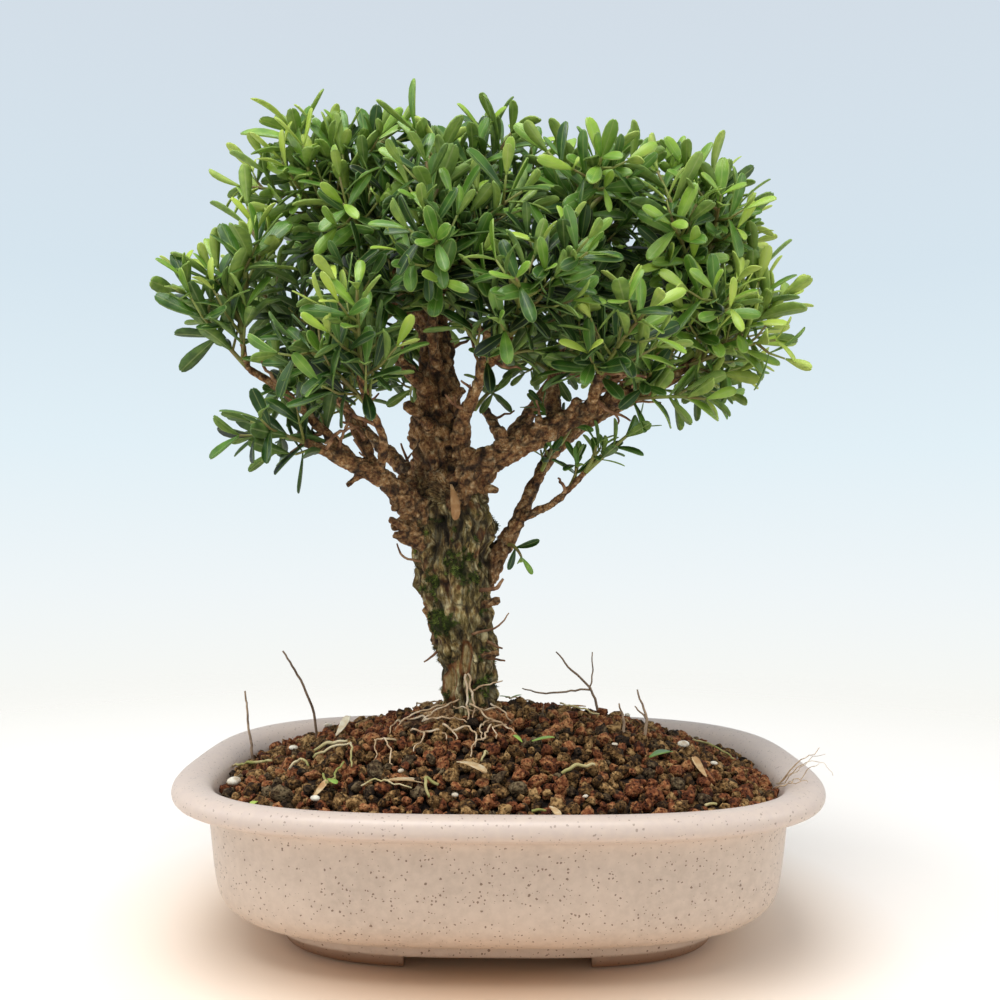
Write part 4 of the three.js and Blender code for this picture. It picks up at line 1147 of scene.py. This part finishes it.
# Leaf skin, grown with a coat of wax: it shines softly, mottled in patches of 5 mm
upper, tree, shader = material_of("waxy_leaf_upper_side", 0.33, 1.43)
shader.inputs["Specular IOR Level"].default_value = 0.55
tint = node(tree, "Attribute", attribute_name="tint").outputs["Fac"]
chart = node(tree, "UVMap", uv_map="UVMap").outputs[0]
place = node(tree, "TexCoord").outputs["Object"]
across, along = node(tree, "SeparateXYZ", {0: chart}).outputs[:2]
spread = node(tree, "Math", {0: across, 1: 0.5}, operation="SUBTRACT").outputs[0]
apart = node(tree, "Math", {0: spread}, operation="ABSOLUTE").outputs[0]
mottle = node(tree, "TexNoise", {"Vector": place, "Scale": 1 / 0.005, "Detail": 2}).outputs[0]
shift = node(tree, "MapRange", {0: mottle, 1: 0.3, 2: 0.7, 3: -0.1, 4: 0.1}).outputs[0]
tone = node(tree, "Math", {0: tint, 1: shift}, operation="ADD").outputs[0]
stops = [(0.0, "#b4c94e"), (0.25, "#92b43f"), (0.5, "#5e892c"), (0.75, "#2b4f17"), (1.0, "#0f2208")]
blade = node(tree, "ValToRGB", {0: tone}, stops).outputs[0]
rib = node(tree, "MapRange", {0: apart, 1: 0.06, 2: 0.02, 4: 0.32}).outputs[0]
ribbed = node(tree, "Mix", {0: rib, 6: blade, 7: colour("#a9b76a")}, data_type="RGBA").outputs[2]
rim = node(tree, "MapRange", {0: apart, 1: 0.44, 2: 0.5, 4: 0.5}).outputs[0]
edged = node(tree, "Mix", {0: rim, 6: ribbed, 7: colour("#b4bf78")}, data_type="RGBA").outputs[2]
tree.links.new(edged, shader.inputs["Base Color"])
# Side veins, eight to a side, run out and forward from the midrib
lean = node(tree, "Math", {0: apart, 1: -1.1}, operation="MULTIPLY").outputs[0]
step = node(tree, "Math", {0: along, 1: lean}, operation="ADD").outputs[0]
waves = node(tree, "Math", {0: step, 1: 50.0}, operation="MULTIPLY").outputs[0]
veins = node(tree, "Math", {0: waves}, operation="SINE").outputs[0]
groove = node(tree, "Math", {0: rib, 1: -6.0}, operation="MULTIPLY").outputs[0]
relief = node(tree, "Math", {0: veins, 1: groove}, operation="ADD").outputs[0]
bump = node(tree, "Bump", {"Height": relief, "Strength": 0.18, "Distance": 0.0002}).outputs[0]
tree.links.new(bump, shader.inputs["Normal"])

# Leaf skin full of pores: dull, paler and greyer than the upper side
lower, tree, shader = material_of("dull_leaf_under_side", 0.55, 1.42)
tint = node(tree, "Attribute", attribute_name="tint").outputs["Fac"]
chart = node(tree, "UVMap", uv_map="UVMap").outputs[0]
place = node(tree, "TexCoord").outputs["Object"]
across = node(tree, "SeparateXYZ", {0: chart}).outputs[0]
spread = node(tree, "Math", {0: across, 1: 0.5}, operation="SUBTRACT").outputs[0]
apart = node(tree, "Math", {0: spread}, operation="ABSOLUTE").outputs[0]
mottle = node(tree, "TexNoise", {"Vector": place, "Scale": 1 / 0.003, "Detail": 3}).outputs[0]
shift = node(tree, "MapRange", {0: mottle, 1: 0.3, 2: 0.7, 3: -0.16, 4: 0.16}).outputs[0]
tone = node(tree, "Math", {0: tint, 1: shift}, operation="ADD").outputs[0]
stops = [(0.0, "#b4c65d"), (0.4, "#85a048"), (0.75, "#587535"), (1.0, "#3a5325")]
dull = node(tree, "ValToRGB", {0: tone}, stops).outputs[0]
rib = node(tree, "MapRange", {0: apart, 1: 0.07, 2: 0.02, 4: 0.35}).outputs[0]
ribbed = node(tree, "Mix", {0: rib, 6: dull, 7: colour("#b5bf7f")}, data_type="RGBA").outputs[2]
tree.links.new(ribbed, shader.inputs["Base Color"])
bump = node(tree, "Bump", {"Height": mottle, "Strength": 0.3, "Distance": 0.0003}).outputs[0]
tree.links.new(bump, shader.inputs["Normal"])

# Green bark of this year, still smooth: satin, turning olive brown where it ages
green_stem = stained("green_twig_bark", 0.55, 1.45, 0.006, 2, GREEN_TWIG_TONES)


def grow_spray(bm, twig, number, shares, foot, age, youth, growth=1):
    """Adds a whole spray: its stem from a length called foot, its side twigs and their leaves."""
    points, lengths, start = twig["points"], twig["lengths"], twig["woody"]
    main = []
    for step in range(STEM_STEPS + 1):
        spot = on_twig(points, lengths, foot + (lengths[-1] - foot) * step / STEM_STEPS)[0]
        main.append((spot, STEM_RADIUS - STEM_TAPER * step))
    sides = [side_twig(twig, share, number) for share in shares]
    stems = [main]
    for side_points, side_lengths in sides:
        stems.append([(spot, SIDE_RADIUS - SIDE_TAPER * i) for i, spot in enumerate(side_points)])
    before = len(bm.faces)
    bm.from_mesh(bars(stems, 6))
    bm.faces.ensure_lookup_table()
    for face in bm.faces[before:]:
        face.smooth = True
        face.material_index = 2
    turn = math.pi * chance(number)
    leafy(bm, points, lengths, start + (1 if start else 4), PAIR_SPACING, turn, age, youth, growth)
    for order, (side_points, side_lengths) in enumerate(sides):
        leafy(bm, side_points, side_lengths, 2, SIDE_SPACING, turn + order, age, youth, growth)


def leaf_bmesh():
    """A bmesh with the chart and the tint that leaves carry."""
    bm = bmesh.new()
    bm.loops.layers.uv.new("UVMap")
    bm.verts.layers.float.new("tint")
    return bm


for number, twig in enumerate(twigs, start=1):
    bm = leaf_bmesh()
    shares = SIDE_TWIGS if twig["reach"] > LEAST_BRANCHED else []
    tip = twig["points"][-1]
    # Painted light and shade in the leaf tints: sprays to the right are tinted lighter and sprays low in the
    # crown darker; sprays at the back are also a little darker
    painted_sun = min(1, max(0, (tip.x - 25) / 40))
    shaded = min(1, max(0, (220 - tip.z) / 40)) * (1 - painted_sun)
    age = 0.72 - 0.12 * painted_sun + 0.1 * shaded + draw.gauss(0, 0.08) + (0.05 if tip.y > 20 else 0)
    youth = YOUNG_SPRAYS.get(number, LEAST_YOUTH)
    growth = SMALL_LEAVED.get(number, 1)
    grow_spray(bm, twig, number, shares, twig["woody"], age, youth, growth)
    spray = piece_of(f"leafy_spray_{number:02d}", bm, [upper, lower, green_stem])
    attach(spray, "root")
    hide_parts(f"spray_{number:02d}")

# Inner shoots. Shoots deep in the crown, shaded by the sprays, whose leaves are painted darker as shade.
# They sprout from the limbs and fill the spaces between the sprays.
INNER_SHOOTS = 46
INNER_REACH = 25
INNER_GAP = 15
GAP_LOSS = 0.02
INNER_SHARES = [0.1, 0.3, 0.5, 0.7]
INNER_FIRST = 100
INNER_ROOM = ((-82, 78), (-54, 54), (184, 240))
CROWN_MIDDLE = -4
CROWN_HALF = (88, 66)
inner = {"left": leaf_bmesh(), "middle": leaf_bmesh(), "right": leaf_bmesh()}
tips = [Vector(row[:3]) for row in SPRAY_TIPS]
draw = random.Random(71)
gap = INNER_GAP
number = INNER_FIRST
while number < INNER_FIRST + INNER_SHOOTS:
    tip = Vector([draw.uniform(*span) for span in INNER_ROOM])
    off = tip.x - CROWN_MIDDLE
    wide = math.hypot(off / CROWN_HALF[0], tip.y / CROWN_HALF[1])
    low = 205 - 28 * min(1, abs(off) / 70)
    if wide > 0.9 or tip.z < low or min((tip - other).length for other in tips) < gap:
        # The shoots stand closer where no wider place is found
        gap -= GAP_LOSS
        continue
    tips.append(tip)
    twig = twig_of((*tip, INNER_REACH))
    side = "left" if tip.x < -35 else "middle" if tip.x < 22 else "right"
    foot = 0 if twig["lengths"][-1] < 60 else twig["woody"]
    # Painted shade: the inner shoots' leaves take the darkest tint
    grow_spray(inner[side], twig, number, INNER_SHARES, foot, 0.97 + draw.gauss(0, 0.06), 0.2)
    number += 1
for side, bm in inner.items():
    shoots = piece_of(f"inner_shoots_{side}", bm, [upper, lower, green_stem])
    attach(shoots, "root")

# Leaders. Single upright shoots of this spring that stand out of the top and the sides of the
# crown. They sprout among the sprays and carry a few pairs of long, half opened leaves.
LEADERS = [
    (-68, -20, 254), (-62, -26, 245), (-50, -24, 243), (-40, -18, 250), (-27, -26, 250), (-19, -34, 240),
    (-9, -24, 243), (3, -20, 252), (14, -30, 242), (22, -14, 245), (31, -28, 239), (41, -20, 243),
    (48, -30, 236), (59, -18, 241), (66, -24, 237), (75, -18, 229), (82, -12, 213), (88, -20, 199),
    (-80, -22, 227), (-88, -26, 206), (-74, -34, 212), (-30, 30, 248), (0, 44, 242), (30, 44, 238),
    (60, 34, 228), (-56, 44, 230), (82, 14, 206), (-10, 12, 249), (36, 12, 244), (-60, 8, 248),
]
LEADER_REACH = 22
LEADER_LEAF = 1.28
# Small shoots low in the crown, with the length of each
LOW_SHOOTS = [
    (-28, -30, 194, 20), (-15, -34, 190, 20), (-5, -32, 197, 20), (8, -32, 192, 20), (20, -30, 186, 20),
    (-40, -32, 182, 20), (25, -12, 147, 13), (17, -8, 152, 12), (-52, -30, 172, 18), (36, -30, 180, 20),
    (-21, -26, 203, 20), (-34, -24, 200, 20), (2, -24, 204, 20), (30, -22, 152, 12), (-47, -32, 176, 18),
    (-38, -34, 174, 16), (-2, -34, 182, 16), (10, -32, 180, 18), (20, -34, 176, 16),
    (46, -30, 174, 16), (-60, -34, 176, 16), (6, 12, 184, 15), (-1, 6, 175, 12), (14, 5, 169, 11),
    (19, 10, 181, 15), (25, -4, 163, 10), (10, 20, 190, 16), (-31, 8, 172, 13), (-36, 14, 180, 14),
]
LOW_SHARES = [0.3, 0.6]
bm = leaf_bmesh()
joints = [on_twig(twig["points"], twig["lengths"], step * 3)[0] for twig in twigs for step in range(40)]
for number, spot in enumerate(LEADERS, start=200):
    tip = Vector(spot)
    low = Vector((tip.x * 0.9, tip.y * 0.9, tip.z - 16))
    foot = min(joints, key=lambda joint: (joint - low).length)
    middle = foot.lerp(tip, 0.5) + Vector((tip.x, tip.y, 0)) * 0.02
    points = [foot, middle, tip]
    lengths = [0, (middle - foot).length, (middle - foot).length + (tip - middle).length]
    leader = {"points": points, "lengths": lengths, "woody": max(0, lengths[-1] - LEADER_REACH)}
    grow_spray(bm, leader, number, [], 0, 0.55 + draw.gauss(0, 0.08), 0.2, LEADER_LEAF)
for number, (x, y, z, reach) in enumerate(LOW_SHOOTS, start=260):
    twig = twig_of((x, y, z, reach))
    foot = max(0, twig["lengths"][-1] - 1.6 * reach)
    # Painted shade: the low shoots' leaves are given a dark tint
    grow_spray(bm, twig, number, LOW_SHARES, foot, 0.76, 0.14, min(1, reach / 18))
shoots = piece_of("leaders", bm, [upper, lower, green_stem])
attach(shoots, "root")

# Bare twiglets. Short dead twigs under the crown, brittle and forked, that lost their leaves for
# want of light; they keep the brown bark of the limbs.
TWIGLETS = 110
TWIGLET_LENGTH = (7, 20)
THICKEST_TWIGLET = 0.75
BROWN_TWIG_TONES = [(0.3, "#4b3020"), (0.5, "#80593b"), (0.7, "#b08b66")]
TRUNK_TWIGS = [
    [(-23, -7, 115, 0.6), (-29, -9, 116, 0.45), (-32, -10, 117.5, 0.4), (-33, -11, 121, 0.25)],
    [(-7, -8, 106, 0.8), (-1, -11, 107, 0.7), (1, -12, 110, 0.4)],
    [(-4, -6, 84, 0.5), (2, -8, 83, 0.3)],
    [(-4, -5, 89, 0.6), (1, -6, 87, 0.3)],
    [(-9, -10, 92, 0.5), (0, -12, 95, 0.35), (3, -12, 99, 0.2)],
    [(-20, -8, 86, 0.5), (-24, -10, 83, 0.25)],
]
draw = random.Random(9)
lines = [wandering(rows, 10, 0.4, 7 * order) for order, rows in enumerate(TRUNK_TWIGS)]
while len(lines) < TWIGLETS:
    rows = draw.choice(LIMBS)
    start, radius = line_point(rows, draw.uniform(0.25, 1))
    length = draw.uniform(*TWIGLET_LENGTH)
    outside = Vector((start.x + 18, start.y, 0)).normalized()
    stray = Vector([draw.gauss(0, 0.7) for axis in range(3)])
    way = (stray + outside * 0.6 + Vector((0, 0, 0.7))).normalized()
    bend = way + Vector([draw.gauss(0, 0.35) for axis in range(3)])
    middle = start + way * length * 0.5
    tip = middle + bend.normalized() * length * 0.5
    thick = min(THICKEST_TWIGLET, radius * 0.6)
    rows = [(*start, thick), (*middle, thick * 0.75), (*tip, thick * 0.45)]
    lines.append(wandering(rows, 8, 0.8, len(lines)))
    if draw.random() < 0.5:
        aside = Vector([draw.gauss(0, 0.6) for axis in range(3)])
        fork = middle + (way * 0.6 + aside).normalized() * length * 0.35
        rows = [(*middle, thick * 0.6), (*middle.lerp(fork, 0.5), thick * 0.5), (*fork, thick * 0.35)]
        lines.append(wandering(rows, 5, 0.4, len(lines)))
bm = bmesh.new()
bm.from_mesh(bars(lines, 6))
# Young twig bark, dried and peeling: matt brown with paler flakes of 3 mm
peeling = stained("brown_twig_bark", 0.75, 1.45, 0.003, 4, BROWN_TWIG_TONES, 0.7, 0.0004)
twiglets = piece_of("bare_twiglets", bm, [peeling])
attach(twiglets, "root")

# Dry stems. Dead stalks of small weeds, 0.7 mm thick, grey-brown and brittle, with thin side
# twigs; they stand where they grew, rooted among the granules.
DRY_STEMS = {
    "dry_stem_left": [[(-83, 8, 45, 0.5), (-85, 9, 58, 0.4), (-87, 10, 70, 0.3)]],
    "dry_stem_tall": [[(-63, 18, 45, 0.5), (-64, 14, 62, 0.45), (-69, 10, 76, 0.4), (-74, 9, 84, 0.3)]],
    "dry_stem_forked": [
        [(38, 17, 52, 0.6), (35, 18, 62, 0.55), (32, 20, 70, 0.45), (25, 20, 77, 0.4), (20, 20, 83, 0.25)],
        [(32, 20, 70, 0.35), (22, 20, 69, 0.35), (14, 20, 68.5, 0.3), (8, 20, 70, 0.2)],
        [(32, 20, 70, 0.3), (33, 20, 76, 0.25), (32.5, 20, 83, 0.2)],
    ],
}
STALK_TONES = [(0.35, "#6e5847"), (0.65, "#b0957a")]
# Dead stalk, bleached by the sun: matt grey-brown with paler lengths of 5 mm
brittle = stained("dry_stalk_skin", 0.75, 1.45, 0.005, 3, STALK_TONES)
for name, stalks in DRY_STEMS.items():
    lines = [wandering(rows, 18, 0.5, seed) for seed, rows in enumerate(stalks, start=40)]
    bm = bmesh.new()
    bm.from_mesh(bars(lines, 8))
    stalk = piece_of(name.replace("dry_stem", "dry_stalk"), bm, [brittle])
    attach(stalk, "root")
    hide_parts(name)

# Short stalks. Broken-off stubs of the same weeds, dead and brittle, that still stand in the grit in
# front of the forked stem.
SHORT_STALKS = [
    [(46, -13, 58, 0.5), (47, -13, 66, 0.45), (44, -13, 75, 0.25)],
    [(47, -13, 66, 0.35), (43, -14, 70, 0.2)],
    [(39, -15, 58, 0.5), (39.5, -15, 65, 0.4), (38, -16, 71, 0.25)],
    [(14, -2, 64, 0.35), (15, -3, 68, 0.2)],
]
lines = [wandering(rows, 12, 0.5, seed) for seed, rows in enumerate(SHORT_STALKS, start=60)]
bm = bmesh.new()
bm.from_mesh(bars(lines, 8))
stalk = piece_of("dry_stalk_short", bm, [brittle])
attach(stalk, "root")

# Hair roots. A tuft of thin, pale threads, dried where watering washed them free, that stands out
# over the rim at the right end.
HAIR_ROOTS = [
    [(84, -26, 48, 0.4), (88, -31, 54, 0.35), (92, -35, 59, 0.25), (94, -38, 62, 0.15)],
    [(85, -28, 48, 0.3), (90, -34, 56, 0.22), (96, -38, 58, 0.15), (97, -40, 54, 0.12)],
    [(84, -29, 48, 0.3), (89, -36, 53, 0.25), (93, -40, 58, 0.15)],
    [(83, -30, 48, 0.3), (87, -37, 52, 0.22), (90, -41, 53, 0.15)],
    [(86, -27, 49, 0.25), (92, -31, 56, 0.15), (97, -33, 60, 0.1)],
]
lines = [wandering(rows, 14, 1.4, seed, 0.55) for seed, rows in enumerate(HAIR_ROOTS, start=80)]
bm = bmesh.new()
bm.from_mesh(bars(lines, 6))
threads = piece_of("hair_roots", bm, [corded])
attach(threads, "root")

# Fallen leaves. Old leaves of the tree that dried on the soil: curled, dull and pale brown. One
# hangs by its stalk on the front of the trunk.
# Leaf skin, dried: the wax is dulled, and the brown is blotched in patches of 3 mm
dead, tree, shader = material_of("dry_leaf_skin", 0.7, 1.42)
place = node(tree, "TexCoord").outputs["Object"]
tint = node(tree, "Attribute", attribute_name="tint").outputs["Fac"]
stains = node(tree, "TexNoise", {"Vector": place, "Scale": 1 / 0.003, "Detail": 3}).outputs[0]
shift = node(tree, "MapRange", {0: stains, 1: 0.3, 2: 0.7, 3: -0.2, 4: 0.2}).outputs[0]
share = node(tree, "Math", {0: tint, 1: shift}, operation="ADD").outputs[0]
stops = [(0.0, "#e5d9bf"), (0.3, "#c9ac80"), (0.6, "#a97c4e"), (1.0, "#6d4528")]
tone = node(tree, "ValToRGB", {0: share}, stops).outputs[0]
tree.links.new(tone, shader.inputs["Base Color"])
bump = node(tree, "Bump", {"Height": stains, "Strength": 0.5, "Distance": 0.0004}).outputs[0]
tree.links.new(bump, shader.inputs["Normal"])
curled = [leaf_template(0.3, 0.22, 0.02), leaf_template(0.8, -0.35, 0.0)]
# Place, turn about the upright, tilt up of the tip, length and tint of each leaf
FALLEN = {
    "dry_leaf_front": ("fallen_leaf_front", [(-32, -49, mound(-32, -49) + 2.2, 15, 4, 12, 0.3)]),
    "dry_leaf_middle": ("fallen_leaf_middle", [(-12, -42, mound(-12, -42) + 2.2, -40, 5, 11, 0.35)]),
    "dry_leaves_small": (None, [
        (-15.5, -16.5, 140, -52, -66, 11.5, 0.6),
        (-52, -12, mound(-52, -12) + 2, 70, 10, 9, 0.1),
        (-38, -27, mound(-38, -27) + 2, 20, 6, 8, 0.3),
        (-52, -52, mound(-52, -52) + 1.6, 60, 8, 7, 0.4),
        (14, -58, mound(14, -58) + 1.4, -70, 4, 7, 0.35),
        (61, -38, mound(61, -38) + 1.8, 110, 10, 8, 0.5),
        (30, 14, mound(30, 14) + 2, 200, 8, 9, 0.5),
    ]),
}


def lying(x, y, z, turn, tilt, length):
    """How a fallen leaf lies: its place, its turn, the tilt of its tip and its length."""
    matrix = Matrix.Translation(at(x, y, z)) @ Matrix.Rotation(math.radians(turn - 90), 4, "Z")
    return matrix @ Matrix.Rotation(math.radians(tilt), 4, "X") @ Matrix.Scale(length * MM, 4)


for name, (node_name, laid_leaves) in FALLEN.items():
    bm = leaf_bmesh()
    for order, (*lie, tint_value) in enumerate(laid_leaves):
        stamp(bm, curled[order % 2], lying(*lie), tint_value)
    leaf = piece_of(name, bm, [dead, dead])
    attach(leaf, "root")
    if node_name:
        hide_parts(node_name)

# Green bits. Fresh leaves of the tree that fell on the soil and are still soft, and a two-leaved
# weed seedling by the trunk.
GREEN_BITS = [
    (10, -32, mound(10, -32) + 2.2, 30, 8, 8, 0.3),
    (45, -34, mound(45, -34) + 2, 50, 4, 12, 0.6),
    (-70, -52, mound(-70, -52) + 1.4, 80, 10, 6, 0.05),
    (4, 7, 69, 20, 15, 4, 0.4),
    (4, 7, 69, 200, 15, 4, 0.4),
    (7, -33, mound(7, -33) + 2.4, 120, 20, 5, 0.2),
    (-49, -45, mound(-49, -45) + 2, -60, 6, 7, 0.3),
]
bm = leaf_bmesh()
for *lie, tint_value in GREEN_BITS:
    stamp(bm, leaves[0], lying(*lie), tint_value)
bits = piece_of("green_bits", bm, [upper, lower])
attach(bits, "root")

# Straws. Dry bits of moss stems, peeled roots and stalks that came with the grit and lie loose among
# the granules. Rows are x, y, lift over the mound and radius.
STRAWS = [
    [(-57, -22, 1.5, 0.8), (-52, -22, 2.6, 0.9), (-47, -22, 1.8, 0.6)],
    [(-56, -29, 2.0, 0.6), (-50, -28, 2.6, 0.6), (-45, -26, 2.2, 0.5)],
    [(-88, 0, 1.0, 0.7), (-80, -8, 1.8, 0.8), (-71, -20, 2.0, 0.6)],
    [(-63, -31, 1.0, 0.6), (-60, -31, 2.8, 0.7), (-56, -34, 1.4, 0.5)],
    [(-51, -43, 2.4, 0.6), (-48, -48, 2.2, 0.5), (-47, -46, 2.6, 0.4)],
    [(-45, -39, 2.6, 0.5), (-47, -42, 2.6, 0.5), (-47, -47, 2.0, 0.4)],
    [(-39, -50, 2.0, 0.4), (-35, -49, 2.6, 0.4), (-31, -50, 2.4, 0.4), (-24, -52, 1.6, 0.3)],
    [(-46, -23, 1.0, 0.5), (-44, -32, 2.8, 0.5), (-43, -40, 1.6, 0.4)],
    [(-17, -50, 1.4, 0.7), (-20, -50, 2.8, 0.8), (-20, -53, 3.0, 0.7), (-19, -55, 1.4, 0.6)],
    [(-3, -37, 1.0, 0.6), (-4, -38.5, 3.0, 0.6), (-5, -41, 1.6, 0.5)],
    [(18, -46, 1.8, 0.8), (22, -44, 2.8, 0.9), (28, -42, 2.0, 0.6)],
    [(58, -53, 1.6, 0.7), (61, -52, 2.0, 0.6)],
    [(9, -60, 1.6, 0.7), (13, -60, 1.8, 0.5)],
    [(66, 8, 1.8, 0.5), (72, 2, 2.6, 0.5), (78, -2, 1.6, 0.4)],
    [(20, 2, 2.2, 0.5), (27, -2, 3.0, 0.5), (33, -3, 2.0, 0.4)],
]
STRAW_THINNING = 0.62
STRAW_TONES = [(0.35, "#8a8a45"), (0.5, "#b7a873"), (0.65, "#d8c6a0")]
lines = []
for seed, rows in enumerate(STRAWS, start=100):
    lines.append(wandering(on_soil(rows), 12, 0.8, seed, STRAW_THINNING))
bm = bmesh.new()
bm.from_mesh(bars(lines, 8))
# Straw, dried slowly: a faint sheen, some lengths still greenish and others bleached
straw = stained("dry_straw", 0.65, 1.45, 0.012, 2, STRAW_TONES)
straws = piece_of("straws", bm, [straw])
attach(straws, "root")

# Pale seeds. Flat oval seeds and crumbs of pumice, chalk white, that lie loose on the granules. Rows
# are x, y, length and width.
SEEDS = [
    (-80, -29, 5.6, 4.2), (-51, -53, 3.2, 2.6), (59, -12, 5, 3.2), (-66, -10, 3, 2.4), (-28, -45, 2.2, 1.8),
    (35, -30, 2, 1.7), (66, -25, 2.6, 2), (-12, -55, 2.2, 1.8), (24, -55, 1.8, 1.6), (-60, 20, 3, 2.4),
    (46, 26, 2.6, 2),
]
SEED_LIFT = 2.0
SEED_FLATNESS = 0.6
SEED_TONES = [(0.35, "#b9a58a"), (0.6, "#e2dac8")]
draw = random.Random(3)
bm = bmesh.new()
bmesh.ops.create_icosphere(bm, subdivisions=2, radius=0.5)
seed = bpy.data.meshes.new("seed")
bm.to_mesh(seed)
bm.free()
bm = bmesh.new()
bm.verts.layers.float.new("tint")
for x, y, long, wide in SEEDS:
    spin, dip = draw.uniform(0, math.tau), draw.uniform(-0.3, 0.3)
    turn = Matrix.Rotation(spin, 4, "Z") @ Matrix.Rotation(dip, 4, "X")
    shape = Matrix.Diagonal((long * MM, wide * MM, wide * SEED_FLATNESS * MM, 1))
    stamp(bm, seed, Matrix.Translation(at(x, y, mound(x, y) + SEED_LIFT)) @ turn @ shape, 0)
for face in bm.faces:
    face.smooth = True
# Seed coat, weathered: chalky and matt, with buff blots of 2 mm
chalky = stained("chalky_seed_coat", 0.75, 1.45, 0.002, 3, SEED_TONES)
seeds = piece_of("pale_seeds", bm, [chalky])
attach(seeds, "root")
